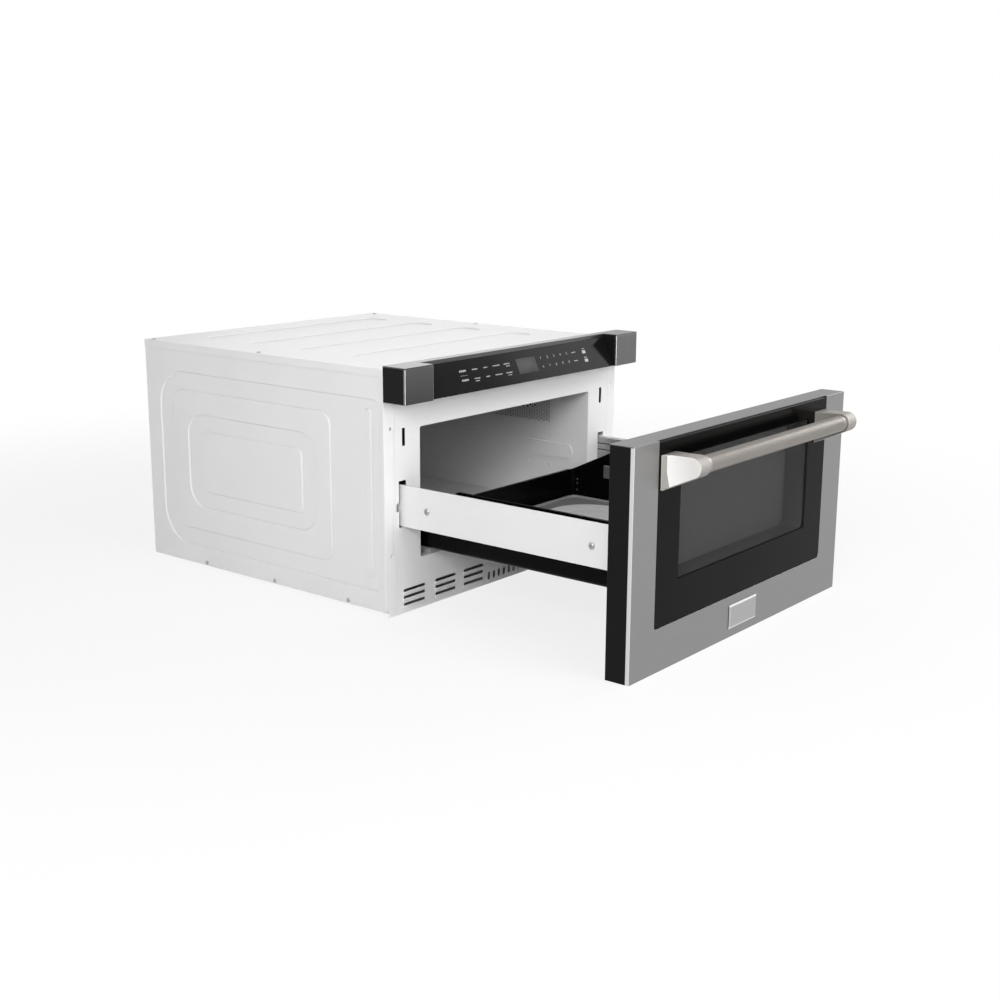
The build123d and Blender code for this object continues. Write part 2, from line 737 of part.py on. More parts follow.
# Five pitched blades on a hub.
fan_blade_count = 5
fan_blade_chord = 28.0
fan_blade_sheet = 1.8
fan_blade_pitch = 28.0
hub_radius = 16.0
hub_length = 18.0
hub_start = shroud_depth + 3
with BuildPart() as fan_rotor:
    bar(fan_shaft_radius, (fan_x, fan_motor_front + 8, fan_height), (fan_x, hub_start + 6, fan_height))
    bar(hub_radius, (fan_x, hub_start, fan_height), (fan_x, hub_start + hub_length, fan_height))
    hub_plane = Plane(origin=(fan_x, front_y + hub_start + hub_length / 2, fan_height), z_dir=(0, 1, 0))
    fan_blade = fan_radius - hub_radius + 4
    with Locations(hub_plane):
        with PolarLocations(fan_radius - fan_blade / 2 - 1, fan_blade_count):
            Box(fan_blade, fan_blade_chord, fan_blade_sheet, rotation=(fan_blade_pitch, 0, 0))
save(fan_rotor, "fan_rotor")

# The cavity lamp shines in through the vent from an arm outside the wall, midway between the
# slide's bracket and the cavity's ceiling.
lamp_depth = vent_centre[0]
lamp_height = (slide_centre + slide_height / 2 + 1 + bracket_foot + cavity_top) / 2
lamp_foot = lamp_depth + 82
lamp_foot_end = lamp_foot + 22
lamp_sheet = 2.0
lamp_reach = wall_outer + 28
lamp_socket_radius = 9.0
lamp_bulb_radius = 7.0
with BuildPart() as cavity_lamp:
    foot_height = (lamp_height - 12, lamp_height + 12)
    slab((wall_outer, wall_outer + lamp_sheet), (lamp_foot, lamp_foot_end), foot_height)
    arm_height = (lamp_height - 9, lamp_height + 9)
    slab((wall_outer, lamp_reach), (lamp_foot_end - lamp_sheet, lamp_foot_end), arm_height)
    slab((lamp_reach - lamp_sheet, lamp_reach), (lamp_depth - 10, lamp_foot_end), arm_height)
    socket_end = (wall_outer + 15, lamp_depth, lamp_height)
    bar(lamp_socket_radius, (lamp_reach - 1, lamp_depth, lamp_height), socket_end)
    bar(lamp_bulb_radius, socket_end, (wall_outer + 6, lamp_depth, lamp_height))
save(cavity_lamp, "cavity_lamp")

# --- Control panel ------------------------------------------------------------------------

panel_middle = face_half - end_trim_width
trim_under = panel_top - top_trim_height
glass_top = trim_under - top_lip
glass_foot = glass_set_back - panel_depth
glass_head = glass_foot + glass_lean
return_depth = 3.0


def profile_bar(points, half_width, mode=Mode.ADD):
    """A bar across the middle of the oven, with one section of depth and height points."""
    with BuildSketch(side_on(-half_width)) as section:
        with BuildLine() as edge:
            Polyline(*points, close=True)
        make_face(edge.edges())
    extrude(section.sketch, amount=2 * half_width, mode=mode)


# The plastic housing is square at its ends and leans back behind the glass.
with BuildPart() as control_housing:
    foot = glass_foot + glass_thickness
    head = glass_head + glass_thickness
    middle = ((0, panel_bottom), (foot, panel_bottom), (head, glass_top), (head, trim_under), (0, trim_under))
    profile_bar(middle, panel_middle)
    inner_low = panel_bottom + panel_wall
    inner_high = trim_under - panel_wall
    inner_foot = foot + panel_wall + skin
    inner_head = head + panel_wall
    hollow = ((1, inner_low), (inner_foot, inner_low), (inner_head, inner_high), (1, inner_high))
    end_front = skin - panel_depth
    for side, hand in hands:
        slab(span(side, panel_middle, face_half), (end_front, 0), (panel_bottom, trim_under))
        end_hollow = span(side, panel_middle + panel_wall, face_half - panel_wall)
        slab(end_hollow, (end_front + panel_wall, 1), (inner_low, inner_high), mode=Mode.SUBTRACT)
        for edge_x in (panel_middle, face_half - skin):
            notch = span(side, edge_x, edge_x + skin)
            notch_depth = (end_front, end_front + return_depth)
            slab(notch, notch_depth, (panel_bottom, trim_under), mode=Mode.SUBTRACT)
    profile_bar(hollow, panel_middle + panel_wall, mode=Mode.SUBTRACT)
save(control_housing, "control_housing")

with BuildPart() as control_glass:
    glass = (
        (glass_foot, panel_bottom),
        (glass_foot + glass_thickness, panel_bottom),
        (glass_head + glass_thickness, glass_top),
        (glass_head, glass_top),
    )
    profile_bar(glass, panel_middle - 0.2)
save(control_glass, "control_glass")

# A folded steel skin covers each square end of the panel.
for side, hand in hands:
    with BuildPart() as end_trim:
        slab(span(side, panel_middle, face_half), (-panel_depth, end_front), (panel_bottom, trim_under))
        for edge_x in (panel_middle, face_half - skin):
            fold = span(side, edge_x, edge_x + skin)
            slab(fold, (end_front, end_front + return_depth), (panel_bottom, trim_under))
    save(end_trim, f"{hand}_end_trim")

# A steel strip runs along the top, with a lip that holds the glass's upper edge.
with BuildPart() as top_trim:
    slab((-face_half, face_half), (glass_head, 0), (trim_under, panel_top))
    slab((-panel_middle, panel_middle), (glass_head, head), (glass_top, trim_under))
    for side, hand in hands:
        slab(span(side, panel_middle, face_half), (-panel_depth, glass_head), (trim_under, panel_top))
save(top_trim, "top_trim")

# The control board stands on four pillars inside the housing.
board_half = panel_middle - 70
board_depth = -8.0
board_height = (panel_bottom + 8, trim_under - 8)
board_sheet = 1.6
board_front = board_depth - board_sheet
pillar_radius = 3.0
relay_places = (-130, -85, 60, 95, 130)
relay_size = (18.0, 7.4, 11.0)
display_span = (-40, 30)
display_depth = 3.0
with BuildPart() as control_board:
    slab((-board_half, board_half), (board_front, board_depth), board_height)
    for pillar_x in (12 - board_half, board_half - 12):
        for pillar_z in (board_height[0] + 6, board_height[1] - 6):
            bar(pillar_radius, (pillar_x, board_depth, pillar_z), (pillar_x, 0, pillar_z))
    relay_low = board_height[0] + 2
    for relay_x in relay_places:
        relay = (relay_x - relay_size[0] / 2, relay_x + relay_size[0] / 2)
        slab(relay, (board_front - relay_size[1], board_front), (relay_low, relay_low + relay_size[2]))
    display_height = (board_height[0] + 6, board_height[1] - 4)
    slab(display_span, (board_front - display_depth, board_front), display_height)
save(control_board, "control_board")

# --- Slides and drive ---------------------------------------------------------------------

slide_web = rail_inner - slide_depth
middle_web = rail_inner - slot_inside + 0.7
slide_step = slide_sheet + slide_clearance
slide_lip_gap = 0.6
outer_lip = rail_inner - 3 * slide_sheet


def channel(side, web, lip_end, height, depth):
    """A folded channel along the drawer's travel, centred on the slide's height."""
    outward = 1 if lip_end > web else -1
    low = slide_centre - height / 2
    high = slide_centre + height / 2
    web_edges = sorted((web, web + outward * slide_sheet))
    lip_edges = sorted((web, lip_end))
    slab(span(side, *web_edges), depth, (low, high))
    slab(span(side, *lip_edges), depth, (low, low + slide_sheet))
    slab(span(side, *lip_edges), depth, (high - slide_sheet, high))


def slide_run(forward):
    """The depth span of a slide member moved forward by a distance."""
    return (slide_front - forward, slide_front + slide_length - forward)


# Hat-shaped brackets on the cavity's outer walls carry the slides.
bracket_margin = 5.0
with BuildPart() as slide_brackets:
    for side, hand in hands:
        low = slide_centre - slide_height / 2 - bracket_margin
        high = slide_centre + slide_height / 2 + 1
        run = (slide_front + 2, slide_front + slide_length)
        slab(span(side, slide_web - sheet, slide_web), run, (low, high))
        slab(span(side, wall_outer, slide_web), run, (low, low + sheet))
        slab(span(side, wall_outer, slide_web), run, (high - sheet, high))
        slab(span(side, wall_outer, wall_outer + sheet), run, (low - bracket_foot, low + sheet))
        slab(span(side, wall_outer, wall_outer + sheet), run, (high - sheet, high + bracket_foot))
save(slide_brackets, "slide_brackets")

# Three channels run inside each other on each side. The outer one is fixed to the bracket, the
# inner one to the rail, and the middle one moves half as far as the drawer.
rail_screw_depths = (352 - travel, 49 - travel)
rail_screw_radius = 2.2
rail_screw_head = (4.4, 2.2)
middle_height = slide_height - 2 * slide_step
inner_height = middle_height - 2 * slide_step
for side, hand in hands:
    with BuildPart() as slide_outer:
        channel(side, slide_web, outer_lip, slide_height, slide_run(0))
    save(slide_outer, f"{hand}_slide_outer")

    with BuildPart() as slide_middle:
        lip = rail_inner - slide_sheet - slide_lip_gap
        channel(side, middle_web, lip, middle_height, slide_run(travel / 2))
    save(slide_middle, f"{hand}_slide_middle")

    with BuildPart() as slide_inner:
        lip = middle_web + slide_sheet + slide_lip_gap
        channel(side, rail_inner, lip, inner_height, slide_run(travel))
        for depth in rail_screw_depths:
            start = (side * (rail_inner + 1), depth, rail_screw_height)
            end = (side * (rail_inner - slide_sheet), depth, rail_screw_height)
            bar(rail_screw_radius, start, end, mode=Mode.SUBTRACT)
    save(slide_inner, f"{hand}_slide_inner")

# The side rails are painted steel plates from the door's back into the case.
rail_flange = 20.0
rail_flange_sheet = 1.5
rail_corner = 5.0
for side, hand in hands:
    with BuildPart() as side_rail:
        with BuildSketch(side_on(side * rail_inner)):
            rail_low = (door_back, rail_bottom)
            rail_end = (rail_overlap, rail_bottom)
            points = (rail_low, rail_end, (rail_overlap, rail_top), (door_back, rail_top))
            outline(points, (0, rail_corner, rail_corner, 0))
        extrude(amount=side * rail_thickness)
        foot = (door_back, door_back + rail_flange_sheet)
        slab(span(side, rail_inner - rail_flange, rail_inner), foot, (rail_bottom, rail_top))
        for depth in rail_screw_depths:
            start = (side * (rail_outer + 1), depth, rail_screw_height)
            end = (side * (rail_inner - 1), depth, rail_screw_height)
            bar(rail_screw_radius, start, end, mode=Mode.SUBTRACT)
    save(side_rail, f"{hand}_side_rail")

with BuildPart() as rail_screws:
    for side, hand in hands:
        for depth in rail_screw_depths:
            face = (side * rail_outer, depth, rail_screw_height)
            tip = (side * (rail_inner - slide_sheet), depth, rail_screw_height)
            crown = (side * (rail_outer + rail_screw_head[1]), depth, rail_screw_height)
            bar(rail_screw_radius - screw_clearance, face, tip)
            bar(rail_screw_head[0], face, crown)
save(rail_screws, "rail_screws")

# Gear geometry of the rack under the left slide and the pinion that drives it.
pitch_radius = gear_module * pinion_teeth / 2
base_radius = pitch_radius * cos(radians(pressure_angle))
tip_radius = pitch_radius + gear_module
root_radius = pitch_radius - 1.25 * gear_module
tooth_pitch = pi * gear_module
rack_pitch_height = rail_bottom + 2 * gear_module
pinion_height = rack_pitch_height - pitch_radius
gear_span = (rail_inner - gear_side_gap - gear_width, rail_inner - gear_side_gap)
flank_steps = 6
pinion_shaft_radius = 3.0
pinion_shaft_end = slide_web - 11


def involute_angle(radius):
    """How far the tooth's flank has turned, in radians, where it reaches a radius."""
    pressure = acos(min(1.0, base_radius / radius))
    return tan(pressure) - pressure


def pinion_points():
    """The pinion's outline, tooth by tooth, with one tooth pointing up."""
    half_tooth = pi / 2 / pinion_teeth - gear_backlash / 2 / pitch_radius + involute_angle(pitch_radius)
    start_radius = max(base_radius, root_radius)
    rise = (tip_radius - start_radius) / flank_steps
    radii = [start_radius + rise * step for step in range(flank_steps + 1)]
    points = []
    for tooth in range(pinion_teeth):
        middle = pi / 2 - tooth * 2 * pi / pinion_teeth
        left = [(radius, middle + half_tooth - involute_angle(radius)) for radius in radii]
        right = [(radius, middle - half_tooth + involute_angle(radius)) for radius in reversed(radii)]
        foot_left = (root_radius, left[0][1])
        foot_right = (root_radius, right[-1][1])
        for radius, angle in (foot_left, *left, *right, foot_right):
            points.append((pinion_depth + radius * cos(angle), pinion_height + radius * sin(angle)))
    return points


with BuildPart() as drive_pinion:
    with BuildSketch(side_on(-gear_span[1])):
        with BuildLine() as gear_edge:
            Polyline(*pinion_points(), close=True)
        make_face(gear_edge.edges())
    extrude(amount=gear_width)
    shaft_start = (-gear_span[0], pinion_depth, pinion_height)
    bar(pinion_shaft_radius, shaft_start, (-pinion_shaft_end, pinion_depth, pinion_height))
save(drive_pinion, "drive_pinion")

# The rack's teeth point down. A gap between teeth stands over the pinion's centre.
rack_front = door_back + 12
rack_rear = rail_overlap - 4
rack_tip = rack_pitch_height - gear_module
rack_root = rack_pitch_height + 1.25 * gear_module
with BuildPart() as drive_rack:
    first = int((rack_front - pinion_depth) / tooth_pitch) + 1
    last = int((rack_rear - pinion_depth) / tooth_pitch) - 1
    lean = tan(radians(pressure_angle))
    half_tooth = tooth_pitch / 4 - gear_backlash / 2
    tip_half = half_tooth - gear_module * lean
    root_half = half_tooth + 1.25 * gear_module * lean
    points = [(rack_front, rack_root)]
    for tooth in range(first, last):
        centre = pinion_depth + (tooth + 0.5) * tooth_pitch
        points += [(centre - root_half, rack_root), (centre - tip_half, rack_tip)]
        points += [(centre + tip_half, rack_tip), (centre + root_half, rack_root)]
    rack_top = rack_root + rack_back
    points += [(rack_rear, rack_root), (rack_rear, rack_top), (rack_front, rack_top)]
    with BuildSketch(side_on(-rail_inner)):
        with BuildLine() as rack_edge:
            Polyline(*points, close=True)
        make_face(rack_edge.edges())
    extrude(amount=gear_side_gap + gear_width)
save(drive_rack, "drive_rack")

# The gear motor is fixed to the cavity's left wall, with its can lying along the wall.
gearbox_outer = slide_web + 3
gearbox_span = (pinion_depth - 24, pinion_depth + 26)
gearbox_height = (pinion_height - 18, pinion_height + 15)
can_radius = 13.0
can_length = 62.0
can_boss_radius = 5.0
with BuildPart() as drive_motor:
    slab(span(-1, wall_outer, gearbox_outer), gearbox_span, gearbox_height)
    can_x = -(wall_outer + gearbox_outer) / 2
    can_height = pinion_height - 4
    can_front = (can_x, gearbox_span[1], can_height)
    bar(can_radius, can_front, (can_x, gearbox_span[1] + can_length, can_height))
    bar(can_boss_radius, can_front, (can_x, gearbox_span[1] + can_length + 4, can_height))
    bore_start = (-gearbox_outer - 1, pinion_depth, pinion_height)
    bore_end = (1 - pinion_shaft_end, pinion_depth, pinion_height)
    bar(pinion_shaft_radius + shaft_clearance, bore_start, bore_end, mode=Mode.SUBTRACT)
save(drive_motor, "drive_motor")

# --- Latches ------------------------------------------------------------------------------

hook_low = latch_slot_bottom + 3
hook_high = hook_low + hook_height
hook_end = hook_length - door_gap
plunger_tip = hook_end + plunger_gap
plunger_head = 2.0
channel_end = plunger_tip + plunger_head + plunger_travel + 0.4
plunger_height = (hook_low + hook_high) / 2
plunger_length = 20.0
plunger_head_radius = plunger_radius + 1.6
plunger_end = plunger_tip + plunger_head + plunger_length
hook_bite = (0.3, 0.72)
hook_foot = (8.0, 2.0)
carrier_half = 12.5
carrier_wall = 6.0
switch_length = 28.0

# A pair of hooks on the door's back enters the slots in the front frame.
with BuildPart() as latch_hooks:
    for side, hand in hands:
        blade = span(side, latch_centre - hook_thickness / 2, latch_centre + hook_thickness / 2)
        slab(blade, (door_back, door_back + hook_length), (hook_low, hook_high))
        bite = (door_back + hook_length * hook_bite[0], door_back + hook_length * hook_bite[1])
        slab(blade, bite, (hook_low, hook_low + hook_height * 0.35), mode=Mode.SUBTRACT)
        foot = span(side, latch_centre - hook_foot[0], latch_centre + hook_foot[0])
        slab(foot, (door_back, door_back + hook_foot[1]), (hook_low - 5, hook_high + 5))
save(latch_hooks, "latch_hooks")

# Behind each slot a plastic carrier guides the hook and holds the switch with its plunger.
with BuildPart() as interlock_switches:
    for side, hand in hands:
        carrier = span(side, latch_centre - carrier_half, latch_centre + carrier_half)
        guide_low = latch_slot_bottom - 2
        guide_high = latch_slot_top + 2
        carrier_height = (guide_low - carrier_wall, guide_high + carrier_wall)
        slab(carrier, (sheet, channel_end + switch_length), carrier_height)
        guide = span(side, latch_centre - plunger_head_radius - 0.6, latch_centre + plunger_head_radius + 0.6)
        slab(guide, (0, channel_end), (guide_low, guide_high), mode=Mode.SUBTRACT)
        start = (side * latch_centre, channel_end - 1, plunger_height)
        end = (side * latch_centre, plunger_end + plunger_travel + 1, plunger_height)
        bar(plunger_radius + plunger_clearance, start, end, mode=Mode.SUBTRACT)
save(interlock_switches, "interlock_switches")

for side, hand in hands:
    with BuildPart() as plunger:
        tip = (side * latch_centre, plunger_tip, plunger_height)
        neck = (side * latch_centre, plunger_tip + plunger_head, plunger_height)
        tail = (side * latch_centre, plunger_end, plunger_height)
        bar(plunger_head_radius, tip, neck)
        bar(plunger_radius, neck, tail)
    save(plunger, f"{hand}_plunger")

# --- Tub and tray -------------------------------------------------------------------------

tub_half = tub_width / 2
tub_back_inner = door_back + tub_length
tub_back = tub_back_inner + tub_sheet
ramp_top = tub_back_inner - (tub_rim - tub_back_rim) / ramp_slope
tub_foot = 12.0


def rim_line(drop):
    """The tub's upper edge seen from the side, lowered by a distance."""
    return ((door_back, tub_rim - drop), (ramp_top, tub_rim - drop), (tub_back_inner, tub_back_rim - drop))


# The tub is a pressed steel tray, open to the door. Its sides slope down to a lower back.
with BuildPart() as tub:
    slab((-tub_half, tub_half), (door_back, tub_back), (tub_bottom, tub_rim))
    rear_edges = tub.edges().filter_by(Axis.Z).group_by(Axis.Y)[-1]
    floor_edges = tub.faces().sort_by(Axis.Z)[0].edges()
    front_edge = floor_edges.sort_by(Axis.Y)[0]
    fillet([edge for edge in (*rear_edges, *floor_edges) if edge != front_edge], tub_corner)
    open_faces = [tub.faces().sort_by(Axis.Z)[-1], tub.faces().sort_by(Axis.Y)[0]]
    offset(amount=-tub_sheet, openings=open_faces)
    beyond = tub_back + 1
    above = (*rim_line(0), (beyond, tub_back_rim), (beyond, tub_rim + 1), (door_back, tub_rim + 1))
    profile_bar(above, tub_half + 1, mode=Mode.SUBTRACT)
    for side, hand in hands:
        with BuildSketch(side_on(side * (tub_half - tub_sheet / 2))) as lip_face:
            with BuildLine() as lip_edge:
                Polyline(*rim_line(0), *reversed(rim_line(tub_sheet)), close=True)
            make_face(lip_edge.edges())
        extrude(amount=side * (rim_lip + tub_sheet / 2))
        foot = (door_back, door_back + tub_sheet)
        foot_height = (tub_bottom + tub_corner, tub_rim - 5)
        slab(span(side, tub_half - tub_sheet, tub_half + tub_foot), foot, foot_height)
    back_lip = (-tub_half + tub_corner, tub_half - tub_corner)
    slab(back_lip, (tub_back_inner, tub_back + rim_lip), (tub_back_rim - tub_sheet, tub_back_rim))
save(tub, "tub")

# Two plastic glides under the tub's rear run on the cavity's floor.
glide_gap = 0.3
with BuildPart() as tub_glides:
    for side, hand in hands:
        foot = span(side, tub_half - tub_corner - 6 - glide_length, tub_half - tub_corner - 6)
        run = (tub_back - tub_corner - 4 - glide_depth, tub_back - tub_corner - 4)
        slab(foot, run, (cavity_floor + glide_gap, tub_bottom))
save(tub_glides, "tub_glides")

# The tray is a flat glass plate with a low rim and shallow rings.
tray_half = tub_half - tub_sheet - tray_clearance
tray_bottom = tub_bottom + tub_sheet + 0.3
tray_top = tray_bottom + tray_thickness
tray_span = (door_back + tray_clearance, tub_back_inner - tray_clearance)
tray_rim = 5.0
tray_rim_height = 2.0
tray_rings = (60, 105, 150)
ring_width = 2.5
ring_depth_cut = 0.8
with BuildPart() as glass_tray:
    with BuildSketch(level(tray_bottom)):
        rounded((-tray_half, tray_half), tray_span, 14)
    extrude(amount=tray_thickness + tray_rim_height)
    with BuildSketch(level(tray_top)):
        inner_span = (tray_span[0] + tray_rim, tray_span[1] - tray_rim)
        rounded((tray_rim - tray_half, tray_half - tray_rim), inner_span, 10)
    extrude(amount=tray_rim_height, mode=Mode.SUBTRACT)
    with BuildSketch(level(tray_top)):
        with Locations((0, (tray_span[0] + tray_span[1]) / 2)):
            for radius in tray_rings:
                Circle(radius)
                Circle(radius - ring_width, mode=Mode.SUBTRACT)
    extrude(amount=-ring_depth_cut, mode=Mode.SUBTRACT)
save(glass_tray, "glass_tray")

# --- Door ---------------------------------------------------------------------------------

glass_half = face_half - column_width
glass_bottom = door_bottom + bottom_strip
door_frame_front = door_front + skin
door_frame_back = door_back - skin
cap_under = door_top - skin
window_half = window_width / 2
glass_back = door_front + door_glass_thickness
glass_corner = 5.0
glass_fit = 0.4

# The door's back is a flat steel panel with the window's screen pressed into it.
inner_margin = 2.0
screen_depth = 0.6
with BuildPart() as door_inner_panel:
    panel_height = (door_bottom + inner_margin, cap_under - inner_margin)
    slab((inner_margin - face_half, face_half - inner_margin), (door_frame_back, door_back), panel_height)
    with BuildSketch(upright(door_back)):
        rounded((-window_half, window_half), (window_bottom, window_top), 14)
    extrude(amount=screen_depth, mode=Mode.SUBTRACT)
save(door_inner_panel, "door_inner_panel")

# The plastic frame is a deep tray, open at the back. Its front has a seat for the glass.
with BuildPart() as door_frame:
    slab((-face_half, face_half), (door_frame_front, door_frame_back), (door_bottom, cap_under))
    inside = (door_bottom + door_wall, cap_under - door_wall)
    ledge = door_frame_front + door_ledge
    slab((door_wall - face_half, face_half - door_wall), (ledge, door_frame_back), inside, mode=Mode.SUBTRACT)
    seat_height = (glass_bottom - glass_fit, cap_under)
    seat_depth = (door_frame_front, glass_back)
    slab((-glass_half - glass_fit, glass_half + glass_fit), seat_depth, seat_height, mode=Mode.SUBTRACT)
    with BuildSketch(upright(ledge)):
        rounded((-window_half - 12, window_half + 12), (window_bottom - 12, window_top + 10), 16)
    extrude(amount=door_ledge + 1, mode=Mode.SUBTRACT)
    return_span = (door_frame_front, door_front + skin_return)
    for side, hand in hands:
        edge = span(side, face_half - skin, face_half)
        slab(edge, return_span, (door_bottom, cap_under), mode=Mode.SUBTRACT)
    slab((-face_half, face_half), return_span, (door_bottom, door_bottom + skin), mode=Mode.SUBTRACT)
save(door_frame, "door_frame")

# The brushed skin is a folded sheet: two columns joined by a strip at the bottom.
with BuildPart() as door_skin:
    slab((-face_half, face_half), (door_front, door_frame_front), (door_bottom, door_top))
    with BuildSketch(upright(door_frame_front)):
        corners = (
            (-glass_half, glass_bottom),
            (glass_half, glass_bottom),
            (glass_half, door_top),
            (-glass_half, door_top),
        )
        outline(corners, (glass_corner, glass_corner, 0, 0))
    extrude(amount=skin, mode=Mode.SUBTRACT)
    for side, hand in hands:
        slab(span(side, face_half - skin, face_half), return_span, (door_bottom, cap_under))
    slab((-face_half, face_half), return_span, (door_bottom, door_bottom + skin))
save(door_skin, "door_skin")

with BuildPart() as door_glass:
    with BuildSketch(upright(glass_back)):
        low = glass_bottom + glass_fit
        high = cap_under - 0.6
        width = glass_half - glass_fit
        corners = ((-width, low), (width, low), (width, high), (-width, high))
        outline(corners, (glass_corner, glass_corner, 0, 0))
    extrude(amount=door_glass_thickness)
save(door_glass, "door_glass")

# The steel cap over the door stops short of the glass, which stands behind a dark gap.
cap_front = glass_back + 0.8
with BuildPart() as door_top_cap:
    slab((-face_half, face_half), (cap_front, door_back), (cap_under, door_top))
    for side, hand in hands:
        slab(span(side, glass_half, face_half), (door_frame_front, cap_front), (cap_under, door_top))
save(door_top_cap, "door_top_cap")

# A bare plate with a raised edge stands on the bottom strip.
badge_half = 40.0
badge_height = (11.5, 48.0)
badge_thickness = 2.0
badge_edge = 2.0
with BuildPart() as badge_plate:
    with BuildSketch(upright(door_front)):
        rounded((-badge_half, badge_half), badge_height, 1.5)
    extrude(amount=badge_thickness)
    with BuildSketch(upright(door_front - badge_thickness)):
        field = (badge_height[0] + badge_edge, badge_height[1] - badge_edge)
        rounded((badge_edge - badge_half, badge_half - badge_edge), field, 1)
    extrude(amount=-0.8, mode=Mode.SUBTRACT)
save(badge_plate, "badge_plate")

# --- Handle -------------------------------------------------------------------------------

nose_depth = door_front - nose_reach
facet_width = 7.5
bar_half = bracket_outer - facet_width - bracket_nose_width
foot_depth = 11.4

# Each cast bracket runs from a tall foot on the glass to a round nose about the bar.
for side, hand in hands:
    with BuildPart() as handle_bracket:
        with BuildSketch(side_on(side * (bracket_outer - bracket_base_width))) as bracket_side:
            with Locations((nose_depth, nose_height)):
                Circle(nose_radius)
            foot_middle = (bracket_base_bottom + bracket_base_top) / 2
            with Locations((door_front - 0.5, foot_middle)):
                Rectangle(1, bracket_base_top - bracket_base_bottom)
            make_hull()
        extrude(amount=side * bracket_base_width)
        with BuildSketch(level(0)):
            tip = nose_depth - nose_radius - 1
            waist = bracket_outer - facet_width
            plan = (
                (side * (bracket_outer - bracket_base_width), door_front),
                (side * bracket_outer, door_front),
                (side * waist, door_front - foot_depth),
                (side * waist, tip),
                (side * bar_half, tip),
                (side * bar_half, nose_depth + nose_radius),
            )
            with BuildLine() as plan_edge:
                Polyline(*plan, close=True)
            make_face(plan_edge.edges())
        extrude(amount=case_height, mode=Mode.INTERSECT)
    save(handle_bracket, f"{hand}_handle_bracket")

with BuildPart() as handle_bar:
    bar(bar_radius, (-bar_half, nose_depth, nose_height), (bar_half, nose_depth, nose_height))
save(handle_bar, "handle_bar")
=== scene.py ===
import json
from math import cos, pi, radians, sin

import bmesh
import bpy
from mathutils import Matrix, Vector


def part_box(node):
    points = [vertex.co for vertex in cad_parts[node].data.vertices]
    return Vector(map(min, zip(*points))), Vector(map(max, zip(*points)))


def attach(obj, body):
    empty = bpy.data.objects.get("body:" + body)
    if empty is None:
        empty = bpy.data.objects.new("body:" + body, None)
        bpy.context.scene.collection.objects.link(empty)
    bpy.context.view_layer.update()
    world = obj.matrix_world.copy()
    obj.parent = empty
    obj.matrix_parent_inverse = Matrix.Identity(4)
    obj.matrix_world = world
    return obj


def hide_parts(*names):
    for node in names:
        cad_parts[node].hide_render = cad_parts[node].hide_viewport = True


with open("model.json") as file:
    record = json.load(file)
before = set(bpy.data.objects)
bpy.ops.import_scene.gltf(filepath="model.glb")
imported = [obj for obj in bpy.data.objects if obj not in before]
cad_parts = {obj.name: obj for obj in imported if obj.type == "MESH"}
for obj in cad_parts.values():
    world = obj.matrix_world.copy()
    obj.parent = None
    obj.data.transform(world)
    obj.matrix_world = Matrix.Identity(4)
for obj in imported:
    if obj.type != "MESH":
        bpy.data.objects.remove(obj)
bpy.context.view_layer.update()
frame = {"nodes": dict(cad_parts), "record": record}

# --- Case panels ----------------------------------------------------------------------------
# The case is thin steel sheet with a satin white powder coat. Its sides and top are stiffened
# by shallow pressed rings and pads, and lap over the frame and the base at their edges.


class Flow:
    """A value on its way through a finish. Arithmetic on it adds Math nodes."""

    def __init__(self, nodes, socket):
        self.nodes = nodes
        self.socket = socket

    def math(self, operation, *values):
        return self.nodes.node("Math", {"operation": operation}, dict(enumerate(values)))

    def __add__(self, other):
        return self.math("ADD", self, other)

    def __sub__(self, other):
        return self.math("SUBTRACT", self, other)

    def __rsub__(self, other):
        return self.math("SUBTRACT", other, self)

    def __mul__(self, other):
        return self.math("MULTIPLY", self, other)

    def __lt__(self, other):
        return self.math("LESS_THAN", self, other)

    def __gt__(self, other):
        return self.math("GREATER_THAN", self, other)

    def __abs__(self):
        return self.math("ABSOLUTE", self)

    __radd__ = __add__
    __rmul__ = __mul__


class Nodes:
    """A tree of shader nodes, which grows as it is described."""

    def __init__(self, tree):
        self.tree = tree

    def join(self, value, socket):
        if isinstance(value, Flow):
            self.tree.links.new(value.socket, socket)
        else:
            socket.default_value = value

    def node(self, kind, settings, sockets, output=0):
        """Add a node, set it, and give its sockets their values or links."""
        made = self.tree.nodes.new("ShaderNode" + kind)
        for name, value in settings.items():
            if name == "stops":
                stops = made.color_ramp.elements
                while len(stops) < len(value):
                    stops.new(1.0)
                for stop, (position, colour) in zip(stops, value):
                    stop.position = position
                    stop.color = colour
            else:
                setattr(made, name, value)
        for name, value in sockets.items():
            self.join(value, made.inputs[name])
        if made.outputs:
            return Flow(self, made.outputs[output])


